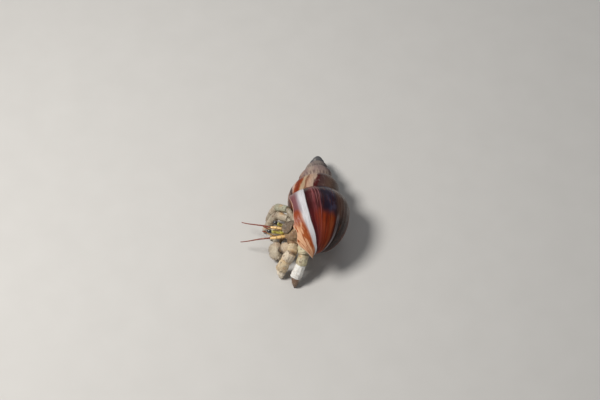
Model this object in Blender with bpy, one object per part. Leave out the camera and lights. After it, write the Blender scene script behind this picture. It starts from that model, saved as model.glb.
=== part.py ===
"""Land hermit crab walking with the shell of a giant land snail on its back, life size.

The shell rests on the floor under its body whorl, at the origin. Its apex points to +Y,
and the crab leans out of the aperture towards -X with its left side towards -Y.
All lengths are in millimetres up to add_piece, which turns them into metres.
"""
import math

import bmesh
import bpy
from mathutils import Matrix, Vector

MM = 0.001

# Shell: depths are measured along the axis from the point that the spire grows from.
DEPTH_GROWTH = 1.62        # a whorl's length over that of the one before it
GIRTH_GROWTH = 1.5         # and its girth
APEX_DEPTH = 1.4
SEAM_DEPTH = 38.5          # where the seam between whorls reaches the lip
SEAM_RADIUS = 14.2
WIDEST_DEPTH = 51.0
WIDEST_RADIUS = 20.6
FOOT_DEPTH = 73.5          # lowest point of the lip, so the shell is about 72 long
COLUMELLA_DEPTH = 70.0
COLUMELLA_RADIUS = 2.4
WALL = 1.1
LIP_AZIMUTH = 150.0        # where the lip meets the seam, counted from +X over the top
AXIS_PITCH = -9.5          # the apex hangs lower than the mouth
AXIS_YAW = 2.5
AXIS_POINT = Vector((-1.2, -11.3, 16.6))
AXIS_POINT_DEPTH = 49.4
WHORLS = 5.5
COLUMNS = 32               # meridians in one whorl
MOUTH_START = 0.04         # the hollow of the mouth, in whorls from the lip
MOUTH_END = -0.40

# Crab
GAP = 0.3                  # air between pieces that meet
SIDES = 10                 # corners of a limb's section
STALK_HALF_WIDTH = 0.8
STALK_HALF_HEIGHT = 1.15
CORNEA_HALF_LENGTH = 1.5
CORNEA_HALF_WIDTH = 1.05
CORNEA_HALF_HEIGHT = 1.25
FEELER_RADIUS = 0.5
FEELER_TIP = 0.55          # part of the radius that is left at a feeler's tip

AXIS = Vector((math.sin(math.radians(AXIS_YAW)) * math.cos(math.radians(AXIS_PITCH)),
               math.cos(math.radians(AXIS_YAW)) * math.cos(math.radians(AXIS_PITCH)),
               math.sin(math.radians(AXIS_PITCH))))
AXIS_RIGHT = Vector((math.cos(math.radians(AXIS_YAW)), -math.sin(math.radians(AXIS_YAW)), 0.0))
AXIS_UP = AXIS_RIGHT.cross(AXIS)

for old in list(bpy.data.objects):
    bpy.data.objects.remove(old, do_unlink=True)

crab = bpy.data.collections.new("hermit_crab")
cutters = bpy.data.collections.new("cutters")
bpy.context.scene.collection.children.link(crab)
bpy.context.scene.collection.children.link(cutters)


def make_material(name, colour, roughness):
    material = bpy.data.materials.new(name)
    material.use_nodes = True
    shader = material.node_tree.nodes["Principled BSDF"]
    shader.inputs["Base Color"].default_value = (*colour, 1.0)
    shader.inputs["Roughness"].default_value = roughness
    shader.inputs["Metallic"].default_value = 0.0
    return material


def finish(mesh, name, colour, roughness):
    """Give a mesh its own material, and shade it smooth away from its sharp edges."""
    mesh.materials.append(make_material(name, colour, roughness))
    mesh.shade_smooth()
    mesh.set_sharp_from_angle(angle=math.radians(40))


def new_object(name, mesh, place=Vector((0, 0, 0)), collection=crab):
    piece = bpy.data.objects.new(name, mesh)
    piece.location = place * MM
    collection.objects.link(piece)
    return piece


def cut_floor(shape):
    """Slice off what reaches under the floor, which leaves a small flat to stand on."""
    everything = shape.verts[:] + shape.edges[:] + shape.faces[:]
    cut = bmesh.ops.bisect_plane(shape, geom=everything, plane_co=(0, 0, 0),
                                 plane_no=(0, 0, -1), clear_outer=True)
    rim = [edge for edge in cut["geom_cut"] if isinstance(edge, bmesh.types.BMEdge)]
    if rim:
        bmesh.ops.holes_fill(shape, edges=rim)


def face_out(shape):
    bmesh.ops.recalc_face_normals(shape, faces=shape.faces)
    if shape.calc_volume(signed=True) < 0.0:
        bmesh.ops.reverse_faces(shape, faces=shape.faces)


def skin_rings(shape, rings):
    """Join rings of corners into a closed tube with flat ends."""
    loops = [[shape.verts.new(corner) for corner in ring] for ring in rings]
    count = len(loops[0])
    for near, far in zip(loops, loops[1:]):
        for i in range(count):
            j = (i + 1) % count
            shape.faces.new((near[i], near[j], far[j], far[i]))
    shape.faces.new(reversed(loops[0]))
    shape.faces.new(loops[-1])
    face_out(shape)


def add_piece(name, rings, colour, roughness, stands=False):
    """A closed piece skinned over rings of corners, placed at the middle of its first ring."""
    shape = bmesh.new()
    skin_rings(shape, rings)
    if stands:
        cut_floor(shape)
    place = sum(rings[0], Vector()) / len(rings[0])
    bmesh.ops.transform(shape, matrix=Matrix.Scale(MM, 4) @ Matrix.Translation(-place),
                        verts=shape.verts)
    mesh = bpy.data.meshes.new(name)
    shape.to_mesh(mesh)
    shape.free()
    finish(mesh, name, colour, roughness)
    return new_object(name, mesh, place)


# ---------------------------------------------------------------- shell

def foot_depth(turn):
    """Depth at which the whorl's outline closes on the columella; turn is 0 at the lip."""
    back = min(-turn, 1.0)
    last_whorl = FOOT_DEPTH - 9.0 * back - 18.0 * max(back - 0.35, 0.0) ** 1.5
    return last_whorl * DEPTH_GROWTH ** min(turn + 1.0, 0.0)


def tip_depth(turn):
    return max(foot_depth(turn), COLUMELLA_DEPTH)


def columella_radius(depth, turn):
    left = max(tip_depth(turn) - depth, 0.0)
    return COLUMELLA_RADIUS * min(1.0, 0.45 + 0.3 * left)


def whorl_radius(turn, depth):
    """Distance from the axis of the whorl that has grown to turn, at a depth."""
    size = DEPTH_GROWTH ** turn
    girth = GIRTH_GROWTH ** turn
    widest = WIDEST_DEPTH * size
    if depth <= widest:
        part = (depth / size - SEAM_DEPTH) / (WIDEST_DEPTH - SEAM_DEPTH)
        part = min(max(part, 0.0), 1.0)
        swell = 1.0 - (1.0 - part) ** 1.9
        return girth * (SEAM_RADIUS + (WIDEST_RADIUS - SEAM_RADIUS) * swell)
    fall = min((depth - widest) / (foot_depth(turn) - widest), 1.0)
    outline = girth * WIDEST_RADIUS * (1.0 - fall ** 2.15) ** 0.6
    if turn < -1.6:
        return outline
    return max(outline, columella_radius(depth, turn))


def bump(x, middle, width):
    return math.exp(-((x - middle) / width) ** 2)


def lip_lean(depth):
    """Degrees by which the wavy lip leads (+) or trails (-) its place on the seam."""
    x = min(max((depth - SEAM_DEPTH) / (FOOT_DEPTH - SEAM_DEPTH), 0.0), 1.0)
    growth_line = -26.0 * x ** 0.6 - 20.0 * x ** 8
    wave = 19.0 * bump(x, 0.9, 0.08) + 4.0 * bump(x, 0.71, 0.035)
    return growth_line + wave - 12.0 * bump(x, 0.38, 0.3) * min(8.0 * x, 1.0)


def shell_point(radius, depth, azimuth):
    angle = math.radians(azimuth)
    spoke = AXIS_RIGHT * math.cos(angle) + AXIS_UP * math.sin(angle)
    return AXIS_POINT + AXIS * (AXIS_POINT_DEPTH - depth) + spoke * radius


def bent_turn(turn, depth):
    """The turn of a meridian that leans with the lip near it and stands straight elsewhere."""
    distance = min(abs(turn), abs(turn + 1.0))
    if turn > 0.0:
        distance = 0.0
    return turn + lip_lean(depth) * max(0.0, 1.0 - distance / 0.13) / 360.0


def whorl_point(turn, depth, deeper=0.0):
    """A point on the whorl's outer face, or deeper under it."""
    bent = bent_turn(turn, depth)
    radius = whorl_radius(bent, depth) - deeper
    return shell_point(radius, depth, LIP_AZIMUTH + 360.0 * bent)


def seam_depth(turn):
    return SEAM_DEPTH * DEPTH_GROWTH ** turn


BAND_ROWS = (0.07, 0.27, 0.52, 0.77)
FOOT_ROWS = (0.14, 0.3, 0.46, 0.61, 0.74, 0.85, 0.93, 0.975, 1.0)


def grow_shell(shape):
    """One strip wound from the apex to the lip, closed by a step behind the lip."""
    last = int(COLUMNS * WHORLS)
    columns = []
    for c in range(last + 1):
        turn = -c / COLUMNS
        top = seam_depth(turn)
        below = seam_depth(turn + 1.0)
        # The seam itself lies on the whorl before it.
        seam = shell_point(whorl_radius(turn - 1.0, top), top, LIP_AZIMUTH + 360.0 * turn)
        column = [shape.verts.new(seam)]
        for part in BAND_ROWS:
            column.append(shape.verts.new(whorl_point(turn, top + (below - top) * part)))
        if c < COLUMNS:
            column.append(shape.verts.new(whorl_point(turn, below)))
        else:
            column.append(columns[c - COLUMNS][0])
        if c <= COLUMNS:
            tip = tip_depth(turn)
            for part in FOOT_ROWS:
                column.append(shape.verts.new(whorl_point(turn, below + (tip - below) * part)))
        columns.append(column)
    for new, old in zip(columns, columns[1:]):
        for row in range(min(len(new), len(old)) - 1):
            shape.faces.new((new[row], new[row + 1], old[row + 1], old[row]))
    close_apex(shape, columns[last - COLUMNS:])
    close_foot(shape, [column[-1] for column in columns[:COLUMNS + 1]])
    close_step(shape, columns[0], columns[COLUMNS][len(BAND_ROWS) + 1:])


def close_apex(shape, columns):
    """The strip's first turn is filled with a blunt cone."""
    tip = shape.verts.new(shell_point(0.0, APEX_DEPTH, 0.0))
    rim = [column[0] for column in columns]
    for a, b in zip(rim, rim[1:]):
        shape.faces.new((a, b, tip))
    last = columns[-1]
    for a, b in zip(last[:-1], last[1:]):
        shape.faces.new((a, b, tip))


def close_foot(shape, rim):
    centre = shape.verts.new(shell_point(0.0, 0.5 * (FOOT_DEPTH + COLUMELLA_DEPTH), 0.0))
    for a, b in zip(rim, rim[1:] + rim[:1]):
        shape.faces.new((a, b, centre))


def depth_of(vertex):
    return AXIS_POINT_DEPTH - (vertex.co - AXIS_POINT).dot(AXIS)


def close_step(shape, outer, inner):
    """Fill between the lip's edge and the whorl inside it, which share their first corner."""
    i = 0
    j = 0
    while i < len(outer) - 1 or j < len(inner) - 1:
        outer_left = i < len(outer) - 1
        inner_left = j < len(inner) - 1
        if outer_left and (not inner_left or depth_of(outer[i + 1]) <= depth_of(inner[j + 1])):
            corners = (outer[i], outer[i + 1], inner[j])
            i += 1
        else:
            corners = (outer[i], inner[j + 1], inner[j])
            j += 1
        if len(set(corners)) == 3:
            shape.faces.new(corners)


# Sections of the mouth, from just outside the lip to its end inside the whorl.
MOUTH_TURNS = [MOUTH_START + (MOUTH_END - MOUTH_START) * k / 11 for k in range(12)]


def mouth_ring(turn, clearance, steps=9):
    """Section of the hollow behind the lip: out along the wall and back along the columella."""
    top = seam_depth(turn) + 1.6 + clearance
    bottom = foot_depth(turn) - 1.7 - clearance
    depths = []
    for k in range(steps):
        depths.append(top + (bottom - top) * math.sin(0.5 * math.pi * k / (steps - 1)))
    ring = []
    for depth in depths:
        ring.append(whorl_point(turn, depth, deeper=WALL + clearance))
    for depth in reversed(depths):
        bent = bent_turn(turn, depth)
        radius = whorl_radius(bent - 1.0, depth) + 0.25 + clearance
        ring.append(shell_point(radius, depth, LIP_AZIMUTH + 360.0 * bent))
    return ring


def build_shell():
    shape = bmesh.new()
    grow_shell(shape)
    face_out(shape)
    cut_floor(shape)
    bmesh.ops.transform(shape, matrix=Matrix.Scale(MM, 4), verts=shape.verts)
    mesh = bpy.data.meshes.new("shell")
    shape.to_mesh(mesh)
    shape.free()
    finish(mesh, "shell", (0.30, 0.09, 0.04), 0.25)
    shell = new_object("shell", mesh)

    mould = bmesh.new()
    skin_rings(mould, [mouth_ring(turn, 0.0) for turn in MOUTH_TURNS])
    bmesh.ops.transform(mould, matrix=Matrix.Scale(MM, 4), verts=mould.verts)
    mould_mesh = bpy.data.meshes.new("mouth_cutter")
    mould.to_mesh(mould_mesh)
    mould.free()
    cutter = new_object("mouth_cutter", mould_mesh, collection=cutters)
    cutter.hide_render = True
    cutter.display_type = "WIRE"
    hollow = shell.modifiers.new("mouth", "BOOLEAN")
    hollow.operation = "DIFFERENCE"
    hollow.solver = "EXACT"
    hollow.object = cutter


build_shell()


# ---------------------------------------------------------------- crab

BODY_LEFT = Vector((-0.59, -0.81, 0.0))
CHITIN = (0.42, 0.37, 0.30)


def ring_at(centre, forward, side, half_side, half_up, sides=SIDES):
    """An oval section square to forward, half_side wide each way along side."""
    across = (side - forward * side.dot(forward)).normalized()
    up = forward.cross(across)
    ring = []
    for k in range(sides):
        angle = 2.0 * math.pi * (k + 0.5) / sides
        ring.append(centre + across * (half_side * math.cos(angle)) + up * (half_up * math.sin(angle)))
    return ring


def swept_rings(stations, side, sides=SIDES):
    """Rings at (centre, half_side, half_up) stations, each square to the way through them."""
    rings = []
    for k, (centre, half_side, half_up) in enumerate(stations):
        before = stations[max(k - 1, 0)][0]
        after = stations[min(k + 1, len(stations) - 1)][0]
        rings.append(ring_at(centre, (after - before).normalized(), side, half_side, half_up, sides))
    return rings


# Outline of a limb segment: part of its length, part of its girth.
SEGMENT = ((0.0, 0.6), (0.06, 0.82), (0.28, 0.95), (0.62, 1.0), (0.88, 0.94), (0.96, 0.8), (1.0, 0.58))
CLAW_NAIL = ((0.0, 0.5), (0.12, 0.82), (0.35, 0.78), (0.62, 0.55), (0.85, 0.33), (1.0, 0.16))


def joint_inset(angle, girth, outline, length):
    """How far a segment stays back from a joint so that it clears the next at this angle."""
    inset = 0.5 * GAP / math.sin(0.5 * angle)
    for part, scale in outline:
        needed = girth * scale / math.tan(0.5 * angle) - part * length
        inset = max(inset, needed + 0.5 * GAP / math.sin(0.5 * angle))
    return inset


def add_limb(prefix, joints, segments, side):
    """Segments from joint to joint; the last is a nail that stands on the floor."""
    for k, (part_name, half_side, half_up) in enumerate(segments):
        start = Vector(joints[k])
        end = Vector(joints[k + 1])
        forward = (end - start).normalized()
        length = (end - start).length
        nail = part_name == "dactyl"
        outline = CLAW_NAIL if nail else SEGMENT
        girth = max(half_side, half_up)
        near = 0.5 * GAP
        if k > 0:
            bend = (Vector(joints[k - 1]) - start).angle(forward)
            near = joint_inset(bend, girth, outline, length)
        far = 0.5 * GAP
        if not nail:
            bend = math.pi
            if k + 2 < len(joints):
                bend = (Vector(joints[k + 2]) - end).angle(-forward)
            mirrored = [(1.0 - part, scale) for part, scale in reversed(outline)]
            far = joint_inset(bend, girth, mirrored, length)
        else:
            far = -0.4
        first = start + forward * near
        last = end - forward * far
        stations = []
        for part, scale in outline:
            stations.append((first.lerp(last, part), half_side * scale, half_up * scale))
        add_piece(prefix + "_" + part_name, swept_rings(stations, side), CHITIN, 0.55, stands=nail)


# Palm with its fixed finger, then the movable finger: part of the palm's length (fingers
# run from 1 to 1.6), shift towards the thumb side, half breadth, half thickness.
PALM = ((0.0, 0.0, 0.3, 0.45), (0.08, 0.0, 0.6, 0.8), (0.3, 0.0, 0.92, 1.0), (0.62, 0.0, 1.0, 1.0),
        (0.88, -0.06, 0.84, 0.86), (1.0, -0.42, 0.5, 0.66), (1.25, -0.4, 0.36, 0.5),
        (1.45, -0.28, 0.24, 0.34), (1.6, -0.16, 0.1, 0.16))
FINGER = ((1.06, 0.5, 0.26, 0.42), (1.14, 0.5, 0.34, 0.5), (1.3, 0.44, 0.3, 0.44),
          (1.47, 0.28, 0.2, 0.3), (1.6, 0.16, 0.09, 0.14))


def add_claw(prefix, wrist, knuckle, tip, thumb_side, half_breadth, half_thickness):
    wrist = Vector(wrist)
    knuckle = Vector(knuckle)
    tip = Vector(tip)
    forward = (knuckle - wrist).normalized()
    across = (thumb_side - forward * thumb_side.dot(forward)).normalized()
    for part_name, outline in (("palm", PALM), ("finger", FINGER)):
        rings = []
        for part, shift, breadth, thickness in outline:
            if part <= 1.0:
                centre = wrist.lerp(knuckle, part)
                ahead = forward
            else:
                centre = knuckle.lerp(tip, (part - 1.0) / 0.6)
                ahead = (tip - knuckle).normalized()
            centre = centre + across * (shift * half_breadth)
            rings.append(ring_at(centre, ahead, across, breadth * half_breadth,
                                 thickness * half_thickness))
        add_piece(prefix + "_" + part_name, rings, CHITIN, 0.55, stands=True)


def add_body():
    """Rear body leaning out of the mouth, the shield over it and the soft plug behind."""
    body = ((Vector((-9.3, -21.4, 25.4)), 2.4, 2.2), (Vector((-9.6, -20.6, 24.0)), 3.8, 2.9),
            (Vector((-10.6, -19.2, 21.0)), 4.4, 3.3), (Vector((-12.1, -17.8, 18.2)), 4.3, 3.2),
            (Vector((-13.6, -16.5, 15.6)), 3.4, 2.6), (Vector((-14.4, -15.9, 14.2)), 1.8, 1.3))
    add_piece("thorax", swept_rings(body, BODY_LEFT, 14), (0.36, 0.27, 0.2), 0.6)
    shield = ((Vector((-11.9, -17.9, 26.5)), 2.6, 0.6), (Vector((-12.4, -17.5, 25.8)), 3.5, 0.9),
              (Vector((-14.1, -16.2, 23.1)), 3.9, 1.2), (Vector((-15.8, -15.1, 21.4)), 3.4, 1.0),
              (Vector((-16.4, -14.7, 20.8)), 2.4, 0.5))
    add_piece("shield", swept_rings(shield, BODY_LEFT, 14), (0.45, 0.4, 0.33), 0.5)
    add_piece("abdomen", [mouth_ring(turn, 0.35) for turn in MOUTH_TURNS[2:-1]],
              (0.42, 0.26, 0.2), 0.6)


def add_eye(name, base, middle):
    """A flattened stalk with a long dark cornea on its end."""
    base = Vector(base)
    middle = Vector(middle)
    forward = (middle - base).normalized()
    stalk_end = middle - forward * (CORNEA_HALF_LENGTH + 0.2)
    side = Vector((0.0, 1.0, 0.0))
    stations = []
    for part, girth in ((0.0, 0.75), (0.12, 1.1), (0.4, 0.9), (0.8, 0.85), (0.95, 0.95), (1.0, 0.7)):
        stations.append((base.lerp(stalk_end, part), STALK_HALF_WIDTH * girth,
                         STALK_HALF_HEIGHT * girth))
    add_piece("eyestalk_" + name, swept_rings(stations, side), (0.45, 0.42, 0.15), 0.4)
    shape = bmesh.new()
    bmesh.ops.create_uvsphere(shape, u_segments=12, v_segments=8, radius=MM)
    size = Matrix.Diagonal((CORNEA_HALF_WIDTH, CORNEA_HALF_HEIGHT, CORNEA_HALF_LENGTH, 1.0))
    bmesh.ops.transform(shape, matrix=size, verts=shape.verts)
    mesh = bpy.data.meshes.new("eye_" + name)
    shape.to_mesh(mesh)
    shape.free()
    finish(mesh, "eye_" + name, (0.01, 0.01, 0.012), 0.1)
    cornea = new_object("eye_" + name, mesh, middle)
    cornea.rotation_mode = "QUATERNION"
    cornea.rotation_quaternion = forward.to_track_quat("Z", "Y")


def add_feeler(name, points, radius, colour, samples):
    """A tapering round feeler along a smooth curve through its points."""
    points = [Vector(point) for point in points]
    curve = bpy.data.curves.new(name, "CURVE")
    curve.dimensions = "3D"
    curve.bevel_depth = radius * MM
    curve.bevel_resolution = 1
    curve.use_fill_caps = True
    spline = curve.splines.new("POLY")
    spline.points.add(samples - 1)
    for k in range(samples):
        along = k / (samples - 1)
        spot = bezier_point(points, along) - points[0]
        spline.points[k].co = (*(spot * MM), 1.0)
        spline.points[k].radius = 1.0 + (FEELER_TIP - 1.0) * along
    curve.materials.append(make_material(name, colour, 0.45))
    return new_object(name, curve, points[0])


def bezier_point(points, along):
    """De Casteljau's construction, which pulls the curve gently towards each point."""
    while len(points) > 1:
        points = [a.lerp(b, along) for a, b in zip(points, points[1:])]
    return points[0]


add_body()
add_eye("left", (-16.9, -16.9, 17.0), (-23.6, -16.4, 17.5))
add_eye("right", (-15.9, -14.0, 17.9), (-20.6, -12.3, 19.0))

LEG = (("merus", 2.7, 2.5), ("carpus", 2.8, 2.5), ("propodus", 2.7, 2.3), ("dactyl", 2.1, 1.9))
FAR_LEG = (("ischium", 1.4, 1.5), ("merus", 1.9, 2.2), ("carpus", 1.9, 2.0), ("propodus", 1.8, 1.8),
           ("dactyl", 1.5, 1.5))
ALONG_X = Vector((1.0, 0.0, 0.0))
ALONG_Y = Vector((0.0, 1.0, 0.0))

add_limb("leg2_left", ((-11.8, -22.8, 14.4), (-12.6, -28.1, 16.1), (-15.1, -29.6, 12.4),
                       (-17.9, -31.3, 5.6), (-17.9, -33.5, 0.0)),
         (("merus", 2.7, 2.5), ("carpus", 2.9, 2.5), ("propodus", 2.9, 2.4), ("dactyl", 2.4, 2.0)),
         ALONG_X)
add_limb("leg3_left", ((-7.4, -24.6, 17.8), (-6.7, -28.9, 15.7), (-7.9, -32.1, 11.7),
                       (-10.8, -35.9, 5.4), (-11.2, -38.8, 0.0)), LEG, ALONG_X)
add_limb("leg2_right", ((-12.4, -12.2, 16.8), (-14.6, -9.0, 17.6), (-20.0, -5.4, 15.4),
                        (-22.6, -5.6, 11.6), (-25.2, -5.9, 5.0), (-26.9, -6.2, 0.0)),
         FAR_LEG, ALONG_Y)
add_limb("leg3_right", ((-10.6, -13.2, 20.8), (-14.6, -5.4, 20.8), (-20.0, -0.9, 15.7),
                        (-22.5, -1.8, 12.0), (-24.2, -1.2, 5.8), (-25.0, -0.5, 0.0)),
         FAR_LEG, ALONG_Y)
add_limb("cheliped_left", ((-12.9, -20.7, 10.6), (-14.1, -22.1, 11.8), (-16.9, -23.3, 11.2)),
         (("merus", 1.8, 2.0), ("carpus", 3.2, 3.0)), ALONG_Y)
add_claw("cheliped_left", (-18.2, -22.9, 10.1), (-21.4, -22.0, 7.1), (-23.8, -20.0, 3.2),
         Vector((0.0, 0.8, 0.6)), 4.5, 3.0)
add_limb("cheliped_right", ((-14.2, -12.7, 11.8), (-16.2, -11.4, 13.7), (-18.5, -10.7, 12.0)),
         (("merus", 1.4, 1.5), ("carpus", 1.8, 1.8)), ALONG_X)
add_claw("cheliped_right", (-18.7, -10.8, 11.5), (-21.3, -10.6, 4.7), (-22.7, -11.0, -0.4),
         Vector((-0.8, 0.5, 0.3)), 2.9, 1.9)

PEDUNCLE = (0.5, 0.36, 0.1)
FLAGELLUM = (0.24, 0.03, 0.02)
add_feeler("antenna_left", ((-16.6, -18.2, 14.8), (-19.0, -18.6, 15.0), (-23.1, -18.3, 14.2)),
           0.85, PEDUNCLE, 6)
add_feeler("antenna_right", ((-16.2, -13.5, 15.9), (-19.0, -12.9, 15.3), (-23.0, -12.1, 14.6)),
           0.85, PEDUNCLE, 6)
add_feeler("flagellum_left", ((-23.5, -18.3, 14.2), (-30.0, -18.3, 13.8), (-34.0, -17.4, 9.4),
                              (-38.5, -16.0, 7.0)), FEELER_RADIUS, FLAGELLUM, 12)
add_feeler("flagellum_right", ((-23.4, -12.0, 14.6), (-30.0, -10.8, 15.4), (-34.5, -8.5, 11.5),
                               (-38.0, -5.5, 9.0)), FEELER_RADIUS, FLAGELLUM, 12)
add_feeler("antennule_left", ((-17.6, -16.3, 14.1), (-21.0, -16.6, 8.5), (-23.0, -15.4, 15.0),
                              (-27.5, -15.6, 16.5)), FEELER_RADIUS, PEDUNCLE, 9)
add_feeler("antennule_right", ((-17.4, -14.9, 14.4), (-20.5, -13.6, 9.0), (-22.5, -14.2, 15.5),
                               (-27.0, -13.2, 17.0)), FEELER_RADIUS, PEDUNCLE, 9)
add_feeler("maxilliped_left", ((-15.7, -16.6, 12.6), (-19.0, -17.2, 12.4), (-18.2, -17.4, 7.4)),
           1.0, CHITIN, 6)
add_feeler("maxilliped_right", ((-16.0, -14.4, 12.8), (-19.2, -14.6, 12.4), (-18.6, -14.8, 7.6)),
           1.0, CHITIN, 6)
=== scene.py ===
"""A land hermit crab walking with the shell of a giant land snail on its back.

Lengths are in millimetres up to Cast.piece, which turns them into metres.
"""
import math

import bpy
import numpy as np
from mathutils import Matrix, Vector


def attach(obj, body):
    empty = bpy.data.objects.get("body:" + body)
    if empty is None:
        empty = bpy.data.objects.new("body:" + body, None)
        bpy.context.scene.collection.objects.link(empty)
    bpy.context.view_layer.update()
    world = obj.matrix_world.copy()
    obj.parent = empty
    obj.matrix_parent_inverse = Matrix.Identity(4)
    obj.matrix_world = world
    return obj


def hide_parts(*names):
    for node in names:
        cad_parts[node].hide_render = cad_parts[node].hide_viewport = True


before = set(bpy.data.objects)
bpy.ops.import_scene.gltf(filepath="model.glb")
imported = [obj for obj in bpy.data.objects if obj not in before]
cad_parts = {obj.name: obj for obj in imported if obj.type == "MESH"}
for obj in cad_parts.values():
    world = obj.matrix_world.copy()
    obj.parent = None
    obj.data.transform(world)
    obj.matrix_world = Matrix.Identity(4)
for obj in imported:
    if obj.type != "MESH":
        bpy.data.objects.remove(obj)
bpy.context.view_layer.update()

# ======================================================================= SHELL
# A giant land snail's shell: lime under a thin glossy skin, wound to the right round a
# hollow pillar. It grew at its lip, so its ridges and stripes follow earlier lips. The
# outer wall, the lip's round edge and the lining are one sheet.

MM = 0.001
chance = np.random.default_rng(7)


def placed(name, data):
    """Put a mesh, a lamp or a camera into the scene as an object."""
    made = bpy.data.objects.new(name, data)
    bpy.context.scene.collection.objects.link(made)
    return made


class Cast:
    """One piece in the making: its corners, its faces and notes for the paint at each corner."""

    def __init__(self):
        self.corners = []
        self.faces = []
        self.notes = {}
        self.count = 0

    def add(self, corners, faces, **notes):
        """Put a lump in; each of its notes is one value, or one for each corner."""
        corners = np.asarray(corners, float).reshape(-1, 3)
        self.corners.append(corners)
        for face in faces:
            self.faces.append([corner + self.count for corner in face])
        for name, value in notes.items():
            value = np.asarray(value, float)
            wide = (4,) if value.shape[-1:] == (4,) else ()
            self.notes.setdefault(name, []).append(np.broadcast_to(value, (len(corners),) + wide))
        self.count += len(corners)

    def piece(self, name, paint):
        """Make the mesh, smooth and in its paint, as an object in the scene."""
        mesh = bpy.data.meshes.new(name)
        mesh.from_pydata((np.concatenate(self.corners) * MM).tolist(), [], self.faces)
        for note, values in self.notes.items():
            values = np.concatenate(values)
            coloured = values.ndim == 2
            kind = "FLOAT_COLOR" if coloured else "FLOAT"
            attribute = mesh.attributes.new(note, kind, "POINT")
            attribute.data.foreach_set("color" if coloured else "value", values.ravel())
        mesh.shade_smooth()
        mesh.materials.append(paint.material)
        return placed(name, mesh)


def sheet_faces(numbers, around=False):
    """Four-sided faces of a sheet of numbered corners, -1 where it has none."""
    if around:
        numbers = np.concatenate([numbers, numbers[:, :1]], axis=1)
    quads = np.stack([numbers[:-1, :-1], numbers[1:, :-1], numbers[1:, 1:], numbers[:-1, 1:]], axis=-1)
    quads = quads.reshape(-1, 4)
    return quads[(quads >= 0).all(axis=1)].tolist()


def cap_faces(ring, middle, turned=False):
    """Triangles that close a ring of numbered corners onto the corner in its middle."""
    pairs = zip(ring.tolist(), np.roll(ring, -1).tolist())
    return [[b, a, middle] if turned else [a, b, middle] for a, b in pairs]


GRAIN_TABLE = chance.random((32, 32, 32))


def grain(spots):
    """Smooth chance from 0 to 1 that varies over about one unit of space."""
    spots = np.asarray(spots, float)
    cell = np.floor(spots).astype(int)
    part = spots - cell
    part = part * part * (3.0 - 2.0 * part)
    total = 0.0
    for corner in np.ndindex(2, 2, 2):
        weight = np.prod(np.where(np.array(corner) == 1, part, 1.0 - part), axis=-1)
        place = (cell + corner) % 32
        total = total + weight * GRAIN_TABLE[place[..., 0], place[..., 1], place[..., 2]]
    return total


def grain_on(*coordinates):
    return grain(np.stack(np.broadcast_arrays(*coordinates), axis=-1))


def above_floor(corners):
    """The corners, with none of them under the floor."""
    corners[..., 2] = np.maximum(corners[..., 2], 0.0)
    return corners


def smooth(value, start, end):
    part = np.clip((value - start) / (end - start), 0.0, 1.0)
    return part * part * (3.0 - 2.0 * part)


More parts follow.
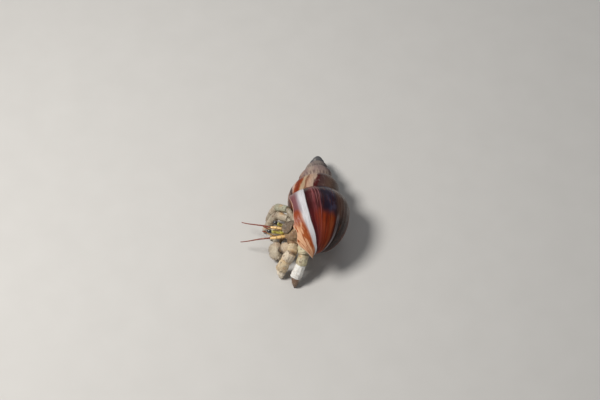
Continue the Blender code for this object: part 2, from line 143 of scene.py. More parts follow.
class Paint:
    """The finish of a surface, mixed from what is noted at its corners and from fine grain."""

    def __init__(self, name, roughness, coat=0.0, coat_roughness=0.1, specular=0.5):
        self.material = bpy.data.materials.new(name)
        self.material.use_nodes = True
        self.nodes = self.material.node_tree.nodes
        self.links = self.material.node_tree.links
        self.shader = self.nodes["Principled BSDF"]
        self.shader.inputs["Roughness"].default_value = roughness
        self.shader.inputs["Coat Weight"].default_value = coat
        self.shader.inputs["Coat Roughness"].default_value = coat_roughness
        self.shader.inputs["Specular IOR Level"].default_value = specular

    def feed(self, socket, value):
        """Join a socket to another one, or set it to a plain value."""
        if isinstance(value, bpy.types.NodeSocket):
            self.links.new(value, socket)
        elif isinstance(value, tuple) and len(value) == 3 and len(socket.default_value) == 4:
            socket.default_value = (*value, 1.0)
        else:
            socket.default_value = value

    def note(self, name, kind="Fac"):
        """What the corners have noted under a name."""
        node = self.nodes.new("ShaderNodeAttribute")
        node.attribute_name = name
        return node.outputs[kind]

    def reckon(self, kind, a, b=0.0):
        node = self.nodes.new("ShaderNodeMath")
        node.operation = kind
        self.feed(node.inputs[0], a)
        self.feed(node.inputs[1], b)
        return node.outputs[0]

    def plus(self, a, b):
        return self.reckon("ADD", a, b)

    def less(self, a, b):
        return self.reckon("SUBTRACT", a, b)

    def times(self, value, *others):
        for other in others:
            value = self.reckon("MULTIPLY", value, other)
        return value

    def place(self):
        return self.nodes.new("ShaderNodeTexCoord").outputs["Object"]

    def spot(self, x, y=0.0, z=0.0):
        node = self.nodes.new("ShaderNodeCombineXYZ")
        for socket, value in zip(node.inputs, (x, y, z)):
            self.feed(socket, value)
        return node.outputs[0]

    def speckle(self, where, scale, detail=2.0, uneven=0.5):
        """Soft grain of about scale grains to a unit of where."""
        node = self.nodes.new("ShaderNodeTexNoise")
        node.inputs["Scale"].default_value = scale
        node.inputs["Detail"].default_value = detail
        node.inputs["Roughness"].default_value = uneven
        self.links.new(where, node.inputs["Vector"])
        return node.outputs["Fac"]

    def pebbles(self, where, scale):
        """Small rounded cells: how far a spot lies from its cell's middle."""
        node = self.nodes.new("ShaderNodeTexVoronoi")
        node.inputs["Scale"].default_value = scale
        self.links.new(where, node.inputs["Vector"])
        return node.outputs["Distance"]

    def fade(self, value, start, end):
        """0 at start, 1 at end and gently between."""
        node = self.nodes.new("ShaderNodeMapRange")
        node.interpolation_type = "SMOOTHSTEP"
        self.feed(node.inputs["Value"], value)
        node.inputs["From Min"].default_value = start
        node.inputs["From Max"].default_value = end
        return node.outputs["Result"]

    def bands(self, value, stops):
        """Colours along a value: (where, colour) pairs."""
        node = self.nodes.new("ShaderNodeValToRGB")
        ramp = node.color_ramp.elements
        while len(ramp) < len(stops):
            ramp.new(1.0)
        for element, (where, colour) in zip(ramp, stops):
            element.position = where
            element.color = (*colour, 1.0)
        self.feed(node.inputs["Fac"], value)
        return node.outputs["Color"]

    def mix(self, share, a, b):
        node = self.nodes.new("ShaderNodeMix")
        node.data_type = "RGBA"
        self.feed(node.inputs["Factor"], share)
        self.feed(node.inputs[6], a)
        self.feed(node.inputs[7], b)
        return node.outputs[2]

    def lay(self, under, over, *shares):
        """One colour laid over another, as strong as all its shares multiplied."""
        return self.mix(self.times(*shares), under, over)

    def colour(self, value):
        self.feed(self.shader.inputs["Base Color"], value)

    def roughness(self, value):
        self.feed(self.shader.inputs["Roughness"], value)

    def relief(self, height, depth):
        """Fine relief, depth in metres between its lowest and highest."""
        node = self.nodes.new("ShaderNodeBump")
        node.inputs["Distance"].default_value = depth
        self.feed(node.inputs["Height"], height)
        self.links.new(node.outputs["Normal"], self.shader.inputs["Normal"])


DEPTH_GROWTH = 1.62        # a whorl's length over that of the one before it
GIRTH_GROWTH = 1.5         # and its girth over that one's
SEAM_DEPTH = 38.5          # depths run along the axis from the point that the spire grows from
SEAM_RADIUS = 14.2
WIDEST_DEPTH = 51.0
WIDEST_RADIUS = 20.6
FOOT_DEPTH = 73.5
COLUMELLA_DEPTH = 70.0
COLUMELLA_RADIUS = 2.4
WALL = 1.1
LIP_AZIMUTH = 150.0        # degrees round the axis from its right side
AXIS_PITCH = math.radians(-9.5)
AXIS_YAW = math.radians(2.5)
AXIS_POINT = np.array((-1.2, -11.3, 16.6))    # the axis passes here, at the depth below
AXIS_POINT_DEPTH = 49.4
WHORLS = 5.5
AXIS = np.array((math.sin(AXIS_YAW) * math.cos(AXIS_PITCH), math.cos(AXIS_YAW) * math.cos(AXIS_PITCH),
                 math.sin(AXIS_PITCH)))
AXIS_RIGHT = np.array((math.cos(AXIS_YAW), -math.sin(AXIS_YAW), 0.0))
AXIS_UP = np.cross(AXIS_RIGHT, AXIS)
COLUMNS = 220              # growth lines modelled in one whorl
BAND_ROWS = 46
FOOT_ROWS = 84
SHOULDER = 0.05            # part of a band that the round of its shoulder takes
LINING_TURNS = 0.42
RIM_ROWS = 9
INNERMOST = 0.4            # the lining comes no nearer to the axis
FIRST_WHORL = (1.9, 1.7, 3.6)    # radius, half length and depth of the knob at the apex
KNOB_ROWS = 24
KNOB_SIDES = 48


def foot_depth(turn):
    back = np.minimum(-turn, 1.0)
    last_whorl = FOOT_DEPTH - 9.0 * back - 18.0 * np.maximum(back - 0.35, 0.0) ** 1.5
    return last_whorl * DEPTH_GROWTH ** np.minimum(turn + 1.0, 0.0)


def whorl_radius(turn, depth):
    """Distance from the axis of the whorl that has grown to turn; turn is 0 at the lip."""
    size = DEPTH_GROWTH ** turn
    girth = GIRTH_GROWTH ** turn
    widest = WIDEST_DEPTH * size
    part = np.clip((depth / size - SEAM_DEPTH) / (WIDEST_DEPTH - SEAM_DEPTH), 0.0, 1.0)
    above = SEAM_RADIUS + (WIDEST_RADIUS - SEAM_RADIUS) * (1.0 - (1.0 - part) ** 1.9)
    fall = np.clip((depth - widest) / (foot_depth(turn) - widest), 0.0, 1.0)
    below = WIDEST_RADIUS * (1.0 - fall ** 2.15) ** 0.6
    outline = girth * np.where(depth <= widest, above, below)
    tip = np.maximum(foot_depth(turn), COLUMELLA_DEPTH)
    pillar = COLUMELLA_RADIUS * np.minimum(1.0, 0.06 + 0.3 * np.maximum(tip - depth, 0.0))
    return np.where(turn < -1.6, outline, np.maximum(outline, pillar))


def bump(x, middle, width):
    return np.exp(-((x - middle) / width) ** 2)


def growth_lean(part):
    """Degrees by which an old lip trails at a part of the way from seam to foot."""
    return -26.0 * part ** 0.6 - 20.0 * part ** 8


def lip_lean(depth):
    part = np.clip((depth - SEAM_DEPTH) / (FOOT_DEPTH - SEAM_DEPTH), 0.0, 1.0)
    wave = 19.0 * bump(part, 0.9, 0.08) + 4.0 * bump(part, 0.71, 0.035)
    return growth_lean(part) + wave - 12.0 * bump(part, 0.38, 0.3) * np.minimum(8.0 * part, 1.0)


def shell_point(radius, depth, azimuth):
    angle = np.radians(azimuth)[..., None]
    spoke = AXIS_RIGHT * np.cos(angle) + AXIS_UP * np.sin(angle)
    return AXIS_POINT + AXIS * (AXIS_POINT_DEPTH - depth)[..., None] + spoke * radius[..., None]


def bent_turn(turn, depth):
    """The turn of a growth line that leans with the lip near it and stands straight elsewhere."""
    distance = np.where(turn > 0.0, 0.0, np.minimum(abs(turn), abs(turn + 1.0)))
    return turn + lip_lean(depth) * np.maximum(0.0, 1.0 - distance / 0.13) / 360.0


def growth_notes(turn, depth):
    """Where a spot lies in the shell's growth (turns behind the lip) and from seam to foot."""
    seam = SEAM_DEPTH * DEPTH_GROWTH ** turn
    part = np.clip((depth - seam) / (foot_depth(turn) - seam), 0.0, 1.0)
    return turn - growth_lean(part) / 360.0, part


def growth_relief(growth, part, turn):
    """Height of the growth ridges, which are coarser on the last whorl and beaded on the spire."""
    size = DEPTH_GROWTH ** turn
    fine = grain_on(growth * 160.0, part * 2.0, 3.5) - 0.5
    coarse = grain_on(growth * 42.0, part * 1.2, 9.5) - 0.5
    rest_mark = bump(growth, -0.118, 0.004) + 0.8 * bump(growth, -0.262, 0.005)
    beads = np.sin(part * 150.0) * smooth(turn, -1.2, -2.0) * 0.02
    return size * (0.16 * fine + 0.30 * coarse - 0.22 * rest_mark) + beads


turns = -np.arange(int(COLUMNS * WHORLS) + 1) / COLUMNS
column = turns[:, None]
top = SEAM_DEPTH * DEPTH_GROWTH ** column
below = top * DEPTH_GROWTH
tip = np.maximum(foot_depth(column), COLUMELLA_DEPTH)
band_part = (np.arange(BAND_ROWS) / BAND_ROWS)[None, :] ** 1.35
foot_part = np.sin(0.5 * math.pi * np.arange(FOOT_ROWS + 1) / FOOT_ROWS)[None, :]
depths = np.concatenate([top + (below - top) * band_part, below + (tip - below) * foot_part], axis=1)
leaning = bent_turn(column, depths)
leaning[:, 0] = turns
own_radius = whorl_radius(leaning, depths)
growth, part = growth_notes(leaning, depths)
own_radius = own_radius + growth_relief(growth, part, leaning) * smooth(part, 0.0, 0.03)
under_radius = whorl_radius(leaning - 1.0, depths)
shoulder = np.sqrt(1.0 - (1.0 - np.clip(np.append(band_part, foot_part + 1.0) / SHOULDER, 0.0, 1.0)) ** 2)
radii = under_radius + (own_radius - under_radius) * shoulder[None, :]
kept = np.ones(depths.shape, bool)
kept[turns < -1.0 - LINING_TURNS, BAND_ROWS + 2:] = False

shell = Cast()
numbers = np.full(depths.shape, -1)
numbers[kept] = np.arange(kept.sum())
outer = above_floor(shell_point(radii, depths, LIP_AZIMUTH + 360.0 * leaning))
shell.add(outer[kept], sheet_faces(numbers[:, ::-1]), growth=growth[kept], part=part[kept],
          age=-leaning[kept], lining=np.where(column < -1.0, smooth(part, 0.485, 0.51), 0.0)[kept])

# The lip's edge turns over the wall's thickness, and the lining runs back from it.
lip_depths = depths[:1]
edge_steps = np.linspace(0.0, math.pi, RIM_ROWS)[:, None]
lip_bent = bent_turn(np.zeros((1, 1)), lip_depths)
outer_edge = radii[:1]
inner_edge = np.maximum(outer_edge - WALL, INNERMOST)
ahead = np.degrees(0.5 * WALL * np.sin(edge_steps) / np.maximum(outer_edge, 3.0))
rim_radius = 0.5 * (outer_edge + inner_edge) + 0.5 * (outer_edge - inner_edge) * np.cos(edge_steps)
rim_azimuth = LIP_AZIMUTH + 360.0 * lip_bent + ahead
rim = shell_point(rim_radius, lip_depths, rim_azimuth)
lining_turns = -(np.arange(1, int(COLUMNS * LINING_TURNS)) / COLUMNS)[:, None]
lining_top = SEAM_DEPTH * DEPTH_GROWTH ** lining_turns
lining_share = (lip_depths - SEAM_DEPTH) / (FOOT_DEPTH - SEAM_DEPTH)
lining_depths = lining_top + (foot_depth(lining_turns) - lining_top) * lining_share
lining_bent = bent_turn(lining_turns, lining_depths)
lining_radius = np.maximum(whorl_radius(lining_bent, lining_depths) - WALL, INNERMOST)
lining = shell_point(lining_radius, lining_depths, LIP_AZIMUTH + 360.0 * lining_bent)
inside = np.concatenate([rim, lining])
inside_growth = np.concatenate([np.zeros(rim.shape[:2]), np.broadcast_to(lining_turns, lining.shape[:2])])
inside_part = np.broadcast_to(part[:1], inside.shape[:2])
inside_share = np.concatenate([np.broadcast_to(edge_steps / math.pi, rim.shape[:2]),
                               np.ones(lining.shape[:2])])
inside_numbers = np.arange(inside_share.size).reshape(inside_share.shape)
shell.add(inside, sheet_faces(inside_numbers[:, ::-1])[::-1], growth=inside_growth.ravel(),
          part=inside_part.ravel(), age=-inside_growth.ravel(), lining=inside_share.ravel())

# The first whorl of all is a blunt knob that closes the spire's end.
knob_turn = np.linspace(0.0, math.pi, KNOB_ROWS + 2)[1:-1, None]
knob_swing = np.linspace(0.0, 2.0 * math.pi, KNOB_SIDES, endpoint=False)[None, :]
knob_radius = FIRST_WHORL[0] * np.sin(knob_turn)
knob_depth = FIRST_WHORL[2] + FIRST_WHORL[1] * np.cos(knob_turn)
first_whorl = shell_point(knob_radius, knob_depth, np.degrees(knob_swing))
ends = shell_point(np.zeros(2), FIRST_WHORL[2] + FIRST_WHORL[1] * np.array((1.0, -1.0)), np.zeros(2))
knob_numbers = np.arange(KNOB_ROWS * KNOB_SIDES).reshape(KNOB_ROWS, KNOB_SIDES)
knob_faces = sheet_faces(knob_numbers, around=True)
knob_faces += cap_faces(knob_numbers[0], knob_numbers.size)
knob_faces += cap_faces(knob_numbers[-1], knob_numbers.size + 1, turned=True)
shell.add(np.concatenate([first_whorl.reshape(-1, 3), ends]), knob_faces,
          growth=-WHORLS, part=0.2, age=WHORLS, lining=0.0)

WHITE = (0.63, 0.62, 0.645)
NEAR_BLACK = (0.011, 0.003, 0.002)
PEACH = (0.76, 0.44, 0.26)
APEX_GREY = (0.118, 0.122, 0.128)
STRIPED_TURNS = 0.36       # how far behind the lip the last whorl's stripes have set places

glaze = Paint("shell_glaze", 0.25, specular=0.11)
grown = glaze.note("growth")
height = glaze.note("part")
age = glaze.note("age")


def growth_grain(along, down, seed=0.0, detail=2.0):
    """Grain drawn out along the growth lines; along and down say how close it lies on a whorl."""
    where = glaze.spot(glaze.times(grown, along), glaze.times(height, down), seed)
    return glaze.speckle(where, 1.0, detail)


def striped(value, reach, stops):
    """Bands whose places are given in turns, over the first reach turns."""
    part_of_reach = glaze.reckon("DIVIDE", value, reach)
    return glaze.bands(part_of_reach, [(place / reach, colour) for place, colour in stops])


drift = growth_grain(30.0, 4.0)
uneven = glaze.less(drift, 0.5)
foot_drag = glaze.plus(glaze.times(glaze.fade(height, 0.65, 0.90), 0.010),
                       glaze.times(glaze.fade(height, 0.92, 1.0), 0.030))
back = glaze.less(glaze.less(glaze.times(uneven, 0.005), grown), foot_drag)

# Last whorl, in turns behind the lip: first its upper part, then its lower part.
upper = striped(back, STRIPED_TURNS, [
    (0.0, (0.26, 0.14, 0.12)), (0.010, (0.17, 0.075, 0.080)), (0.030, (0.185, 0.066, 0.072)),
    (0.046, (0.22, 0.095, 0.105)), (0.056, (0.38, 0.32, 0.35)), (0.065, WHITE), (0.085, WHITE),
    (0.0885, (0.025, 0.005, 0.007)), (0.104, (0.055, 0.010, 0.012)), (0.112, (0.12, 0.026, 0.028)),
    (0.122, (0.17, 0.040, 0.046)), (0.132, (0.06, 0.016, 0.018)), (0.141, (0.10, 0.022, 0.026)),
    (0.151, (0.022, 0.011, 0.020)), (0.175, (0.014, 0.010, 0.021)), (0.200, (0.026, 0.020, 0.040)),
    (0.222, (0.030, 0.016, 0.022)), (0.245, (0.115, 0.055, 0.036)), (0.270, (0.090, 0.040, 0.026)),
    (0.300, (0.060, 0.022, 0.012)), (0.340, (0.022, 0.008, 0.005))])
lower = striped(back, STRIPED_TURNS, [
    (0.0, PEACH), (0.010, (0.64, 0.31, 0.165)), (0.021, (0.37, 0.105, 0.035)),
    (0.034, (0.32, 0.070, 0.018)), (0.045, (0.30, 0.060, 0.018)), (0.053, (0.46, 0.23, 0.17)),
    (0.060, WHITE), (0.086, WHITE), (0.0895, (0.050, 0.007, 0.009)), (0.106, (0.085, 0.010, 0.011)),
    (0.116, (0.15, 0.019, 0.013)), (0.135, (0.21, 0.034, 0.016)), (0.160, (0.26, 0.036, 0.009)),
    (0.180, (0.19, 0.023, 0.005)), (0.200, (0.27, 0.058, 0.016)), (0.215, (0.17, 0.022, 0.004)),
    (0.228, (0.060, 0.010, 0.004)), (0.235, (0.32, 0.27, 0.28)), (0.243, (0.26, 0.22, 0.23)),
    (0.252, (0.016, 0.004, 0.002)), (0.300, NEAR_BLACK), (0.335, (0.020, 0.007, 0.004)),
    (0.352, (0.12, 0.07, 0.045))])
border = glaze.plus(height, glaze.times(uneven, 0.16))
last_whorl = glaze.mix(glaze.fade(border, 0.50, 0.64), upper, lower)
# Burnt orange near the lip, with peach blotches and rusty patches by the foot.
blotch = growth_grain(34.0, 7.0, 5.0)
patchy = growth_grain(80.0, 11.0, 7.0)
lip_zone = glaze.fade(back, 0.052, 0.040)
last_whorl = glaze.lay(last_whorl, (0.27, 0.050, 0.018), glaze.fade(border, 0.52, 0.60),
                       glaze.fade(border, 0.76, 0.68), lip_zone, 0.9)
lip_zone = glaze.times(lip_zone, glaze.fade(height, 0.66, 0.76))
last_whorl = glaze.lay(last_whorl, PEACH, glaze.fade(blotch, 0.50, 0.66), lip_zone)
last_whorl = glaze.lay(last_whorl, (0.38, 0.095, 0.026), glaze.fade(patchy, 0.50, 0.64), lip_zone)
# Dark and light streaks behind the white band, pink lines in the red, and a painted bluish sheen on the
# purple that stands for a reflection.
streaks = growth_grain(120.0, 3.5, 9.0, 4.0)
pink = growth_grain(230.0, 2.2)
dark_half = glaze.fade(back, 0.092, 0.100)
last_whorl = glaze.lay(last_whorl, (0.040, 0.008, 0.007), glaze.fade(streaks, 0.52, 0.36), dark_half, 0.70)
last_whorl = glaze.lay(last_whorl, (0.40, 0.14, 0.07), glaze.fade(streaks, 0.58, 0.74), dark_half, 0.40)
last_whorl = glaze.lay(last_whorl, (0.36, 0.13, 0.13), glaze.fade(pink, 0.54, 0.70),
                       glaze.fade(back, 0.106, 0.114), glaze.fade(back, 0.162, 0.142), 0.75)
# Painted reflection: a patchy bluish sheen on the upper part of the purple band.
last_whorl = glaze.lay(last_whorl, (0.080, 0.080, 0.135), glaze.fade(back, 0.170, 0.196),
                       glaze.fade(back, 0.235, 0.215), glaze.fade(border, 0.60, 0.42),
                       glaze.fade(blotch, 0.42, 0.62), 0.6)
# The whorl before, where it shows over the last one: slanting stripes with ragged edges.
slant = glaze.times(glaze.less(height, 0.17), 0.17)
second_back = glaze.plus(glaze.less(back, 0.96), glaze.plus(slant, glaze.times(uneven, 0.035)))
second_whorl = striped(second_back, 0.40, [
    (0.0, (0.54, 0.40, 0.37)), (0.036, (0.54, 0.38, 0.33)), (0.044, (0.48, 0.25, 0.14)),
    (0.051, (0.23, 0.036, 0.010)), (0.080, (0.18, 0.024, 0.008)), (0.094, (0.27, 0.065, 0.02)),
    (0.104, (0.42, 0.31, 0.20)), (0.118, (0.44, 0.31, 0.20)), (0.127, (0.22, 0.10, 0.06)),
    (0.135, (0.25, 0.12, 0.07)), (0.146, (0.48, 0.30, 0.21)), (0.186, (0.42, 0.31, 0.24)),
    (0.192, (0.080, 0.012, 0.011)), (0.208, (0.062, 0.010, 0.009)), (0.218, (0.060, 0.027, 0.025)),
    (0.245, (0.090, 0.048, 0.042)), (0.290, (0.14, 0.085, 0.062)), (0.340, (0.10, 0.058, 0.044)),
    (0.400, (0.06, 0.036, 0.030))])
# Everywhere else the stripes come by chance.
flame = growth_grain(46.0, 1.6, detail=3.0)
chance_stripes = glaze.bands(flame, [
    (0.30, (0.030, 0.009, 0.007)), (0.42, (0.085, 0.022, 0.012)), (0.50, (0.17, 0.045, 0.016)),
    (0.56, (0.26, 0.10, 0.045)), (0.64, (0.42, 0.24, 0.14)), (0.75, (0.58, 0.42, 0.30))])
veil = growth_grain(9.0, 1.2, 2.0, 4.0)
spire_stripes = glaze.bands(veil, [
    (0.30, (0.085, 0.052, 0.050)), (0.42, (0.17, 0.125, 0.120)), (0.50, (0.29, 0.21, 0.19)),
    (0.58, (0.38, 0.29, 0.235)), (0.70, (0.45, 0.37, 0.30))])
early = glaze.mix(glaze.fade(age, 1.85, 2.1), chance_stripes, spire_stripes)
early = glaze.mix(glaze.fade(age, 2.30, 3.9), early, APEX_GREY)
early = glaze.lay(early, second_whorl, glaze.fade(back, 0.955, 0.975), glaze.fade(back, 1.38, 1.33))
outside = glaze.mix(glaze.fade(back, 0.335, 0.358), last_whorl, early)
# Spots above each seam of the spire, and a paler edge below it.
bead_row = glaze.reckon("SINE", glaze.plus(glaze.times(grown, 190.0), glaze.times(drift, 9.0)))
beads = glaze.fade(glaze.plus(bead_row, glaze.times(flame, 1.6)), 0.3, 1.6)
outside = glaze.lay(outside, (0.06, 0.026, 0.026), beads, glaze.fade(height, 0.29, 0.38),
                    glaze.fade(age, 1.75, 1.95), 0.50)
outside = glaze.lay(outside, (0.34, 0.25, 0.24), glaze.fade(height, 0.13, 0.09),
                    glaze.fade(age, 0.75, 1.1), 0.45)
# Fine growth lines, and wear that is heaviest on the oldest whorls.
lines = growth_grain(700.0, 5.0, detail=3.0)
wear = glaze.speckle(glaze.place(), 420.0, 5.0, 0.65)
outside = glaze.lay(outside, (0.020, 0.008, 0.006), glaze.fade(lines, 0.55, 0.30), 0.40)
outside = glaze.lay(outside, (0.36, 0.32, 0.30), glaze.fade(wear, 0.58, 0.70),
                    glaze.fade(age, 0.3, 2.4), 0.5)
# The rim and the lining inside.
lined = glaze.note("lining")
lining_colour = glaze.mix(glaze.fade(lines, 0.35, 0.65), (0.46, 0.38, 0.36), (0.60, 0.52, 0.50))
rim_colour = glaze.mix(glaze.fade(height, 0.3, 0.5), (0.36, 0.20, 0.17), (0.72, 0.48, 0.35))
inside_colour = glaze.mix(glaze.fade(lined, 0.6, 1.0), rim_colour, lining_colour)
glaze.colour(glaze.mix(glaze.fade(lined, 0.02, 0.2), outside, inside_colour))
matt = glaze.times(glaze.fade(age, 0.9, 3.0), 0.40)
glaze.roughness(glaze.plus(glaze.plus(matt, 0.16), glaze.times(wear, 0.16)))
glaze.relief(glaze.plus(lines, glaze.times(wear, 0.4)), 0.00006)

snail_shell = shell.piece("snail_shell", glaze)
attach(snail_shell, "root")
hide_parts("shell")

# ================================================================== SOFT BODY
# The crab's thorax and the start of its coiled tail: one soft skin, wrinkled across where
# it folds, with the stubs that the legs and claws grow from. The tail fills the mouth.

SKIN_GRAIN = 0.28          # cell of the skin's net
SKIN_SMOOTHING = 6
TAIL_ENDS = (-0.05, -0.30)    # where the tail starts and stops, in turns inside the lip
LEFT = np.array((-0.59, -0.81, 0.0))
DOWN_THE_BODY = np.array((-0.35, 0.35, -0.87))
STUB_SIDE = np.array((0.3, 0.2, 0.93))
STUB_RINGS = 8
SPINE = (                  # places down the body, with half breadth and half thickness
    (-9.3, -21.4, 25.4, 2.4, 2.2), (-9.6, -20.6, 24.0, 3.8, 2.9), (-10.6, -19.2, 21.0, 4.4, 3.3),
    (-12.1, -17.8, 18.2, 4.3, 3.2), (-13.6, -16.5, 15.6, 3.4, 2.6), (-14.4, -15.9, 14.2, 1.8, 1.3))
LEG_STUBS = (
    ((-10.5, -20.5, 19.5), (-8.0, -23.3, 18.6), 2.4, 2.3),
    ((-12.0, -19.5, 17.5), (-11.9, -23.4, 14.6), 2.4, 2.2),
    ((-13.0, -18.0, 15.5), (-13.2, -20.4, 11.4), 2.0, 1.8),
    ((-12.8, -15.5, 16.0), (-14.1, -12.9, 11.9), 1.8, 1.5),
    ((-11.2, -15.6, 19.5), (-12.5, -12.3, 17.0), 1.9, 1.5),
    ((-10.0, -17.5, 22.0), (-10.4, -13.6, 21.0), 1.9, 1.6),
    ((-12.6, -14.9, 19.4), (-15.2, -12.2, 17.6), 2.3, 1.5),
    ((-9.5, -20.5, 24.5), (-5.5, -19.5, 26.0), 3.0, 4.2),
)


def eased(knots, count):
    """count rows along a smooth curve through rows of knots."""
    knots = np.array(knots, float)
    along = np.linspace(0.0, len(knots) - 1.0, count)
    at = np.clip(along.astype(int), 0, len(knots) - 2)
    part = (along - at)[:, None]
    before = knots[np.maximum(at - 1, 0)]
    after = knots[np.minimum(at + 2, len(knots) - 1)]
    here = knots[at]
    there = knots[at + 1]
    return 0.5 * (2.0 * here + (there - before) * part
                  + (2.0 * before - 5.0 * here + 4.0 * there - after) * part ** 2
                  + (3.0 * here - before - 3.0 * there + after) * part ** 3)


def swing(sides):
    """Angles of the corners round a tube."""
    return 2.0 * math.pi * np.arange(sides) / sides


def unit(vectors):
    return vectors / np.maximum(np.linalg.norm(vectors, axis=-1, keepdims=True), 1e-9)


def tube(centres, side, half_side, half_up, sides, squareness=2.0):
    """Rings of corners round a centre line; squareness 2 gives ovals and more gives flatter faces."""
    forward = unit(np.gradient(centres, axis=0))
    across = unit(side - forward * (forward @ side)[:, None])
    up = np.cross(forward, across)
    angle = swing(sides)
    wide = np.sign(np.cos(angle)) * abs(np.cos(angle)) ** (2.0 / squareness)
    high = np.sign(np.sin(angle)) * abs(np.sin(angle)) ** (2.0 / squareness)
    return (centres[:, None] + across[:, None] * (np.asarray(half_side)[:, None] * wide)[..., None]
            + up[:, None] * (np.asarray(half_up)[:, None] * high)[..., None])


def outward(rings):
    """The way out of a tube at each of its corners."""
    around = np.roll(rings, -1, axis=1) - np.roll(rings, 1, axis=1)
    return unit(np.cross(around, np.gradient(rings, axis=0)))


def add_tube(cast, rings, **notes):
    """Put a tube with closed ends into a cast; a note is one value, or one for each ring or corner."""
    count, sides = rings.shape[:2]
    numbers = np.arange(count * sides).reshape(count, sides)
    faces = sheet_faces(numbers[::-1], around=True)
    faces += cap_faces(numbers[0], numbers.size, turned=True)
    faces += cap_faces(numbers[-1], numbers.size + 1)
    ends = np.stack([rings[0].mean(axis=0), rings[-1].mean(axis=0)])
    full = {}
    for name, value in notes.items():
        value = np.asarray(value, float)
        if value.ndim >= 2:
            value = np.broadcast_to(value, (count, sides) + value.shape[2:])
            flat = value.reshape((count * sides,) + value.shape[2:])
            value = np.concatenate([flat, flat[:1], flat[-1:]])
        full[name] = value
    cast.add(np.concatenate([rings.reshape(-1, 3), ends]), faces, **full)


def skinned(cast):
    """One closed skin round all the overlapping lumps of a cast: its corners, faces and ways out."""
    rough_mesh = bpy.data.meshes.new("rough")
    rough_mesh.from_pydata(np.concatenate(cast.corners).tolist(), [], cast.faces)
    rough = placed("rough", rough_mesh)
    net = rough.modifiers.new("net", "REMESH")
    net.mode = "VOXEL"
    net.voxel_size = SKIN_GRAIN
    soften = rough.modifiers.new("soften", "SMOOTH")
    soften.iterations = SKIN_SMOOTHING
    soften.factor = 0.6
    graph = bpy.context.evaluated_depsgraph_get()
    mesh = bpy.data.meshes.new_from_object(rough.evaluated_get(graph))
    corners = np.empty(len(mesh.vertices) * 3)
    mesh.vertices.foreach_get("co", corners)
    normals = np.empty(len(mesh.vertices) * 3)
    mesh.vertex_normals.foreach_get("vector", normals)
    faces = [list(face.vertices) for face in mesh.polygons]
    bpy.data.objects.remove(rough)
    bpy.data.meshes.remove(mesh)
    bpy.data.meshes.remove(rough_mesh)
    return corners.reshape(-1, 3), faces, normals.reshape(-1, 3)


lumps = Cast()
spine = eased(SPINE, 24)
add_tube(lumps, tube(spine[:, :3], LEFT, spine[:, 3], spine[:, 4], 28, 2.2))
for root, end, root_radius, end_radius in LEG_STUBS:
    taper = np.linspace(root_radius, end_radius, STUB_RINGS)
    add_tube(lumps, tube(eased([root, end], STUB_RINGS), STUB_SIDE, taper, taper, 20))
tail_turns = np.linspace(*TAIL_ENDS, 14)[:, None]
tail_share = np.sin(0.5 * math.pi * np.linspace(0.0, 1.0, 16))[None, :]
tail_top = SEAM_DEPTH * DEPTH_GROWTH ** tail_turns + 2.2
tail_depths = tail_top + (foot_depth(tail_turns) - 2.3 - tail_top) * tail_share
tail_bent = bent_turn(tail_turns, tail_depths)
tail_azimuth = LIP_AZIMUTH + 360.0 * tail_bent
tail_outer = shell_point(whorl_radius(tail_bent, tail_depths) - WALL - 0.4, tail_depths, tail_azimuth)
tail_inner = shell_point(whorl_radius(tail_bent - 1.0, tail_depths) + 0.6, tail_depths, tail_azimuth)
add_tube(lumps, np.concatenate([tail_outer, tail_inner[:, ::-1]], axis=1))
skin_corners, skin_faces, skin_out = skinned(lumps)
down_the_body = skin_corners @ unit(DOWN_THE_BODY)
folds = np.sin(down_the_body * 3.4 + 6.0 * grain(skin_corners * 0.30)) * 0.5 + 0.5
wrinkles = np.sin(down_the_body * 9.5 + 9.0 * grain(skin_corners * 0.45 + 7.0)) * 0.5 + 0.5
pimples = grain(skin_corners * 1.6) - 0.5
skin_rise = 0.10 * (folds ** 2 - 0.6) + 0.05 * (wrinkles - 0.5) + 0.12 * pimples
skin_corners = skin_corners + skin_out * skin_rise[:, None]

flesh = Paint("soft_skin", 0.5, coat=0.12)
flesh_mottle = flesh.speckle(flesh.place(), 420.0, 4.0)
flesh_dots = flesh.speckle(flesh.place(), 1500.0, 2.0)
flesh_colour = flesh.mix(flesh.fade(flesh_mottle, 0.38, 0.62), (0.40, 0.235, 0.115), (0.70, 0.49, 0.27))
# Painted shade: the skin is mixed with dark brown, most strongly in the creases of its folds and wrinkles.
flesh_colour = flesh.lay((0.085, 0.038, 0.024), flesh_colour, flesh.note("fold"), 0.6)
flesh.colour(flesh.mix(flesh.fade(flesh_dots, 0.58, 0.70), flesh_colour, (0.42, 0.30, 0.19)))
flesh.roughness(flesh.plus(0.38, flesh.times(flesh_mottle, 0.25)))
flesh.relief(flesh.plus(flesh_dots, flesh_mottle), 0.00010)

body = Cast()
# The fold pattern is noted here for the painted shade in the creases.
body.add(skin_corners, skin_faces, fold=0.35 + 0.40 * folds + 0.25 * wrinkles)
soft_body = body.piece("soft_body", flesh)
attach(soft_body, "root")
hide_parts("thorax", "abdomen")

# ===================================================================== SHIELD
# The hard plate over the front of the body: lime and chitin, grainy in front, with the
# curved groove behind the stomach and a blunt point between the eyes.

SHIELD_LINE = (            # places down the back, with half breadth and half thickness
    (-11.6, -18.1, 26.9, 1.9, 0.45), (-12.0, -17.8, 26.3, 3.1, 0.75), (-13.0, -17.0, 24.6, 3.8, 1.1),
    (-14.1, -16.2, 23.1, 3.9, 1.2), (-15.2, -15.5, 21.9, 3.6, 1.1), (-16.1, -14.9, 21.1, 2.9, 0.8),
    (-16.8, -14.4, 20.5, 1.3, 0.35))
SHIELD_FORWARD = np.array((-0.59, 0.43, -0.68))
SHIELD_RINGS = 70
SHIELD_SIDES = 90
CHITIN_KNOB = (0.62, 0.56, 0.46)
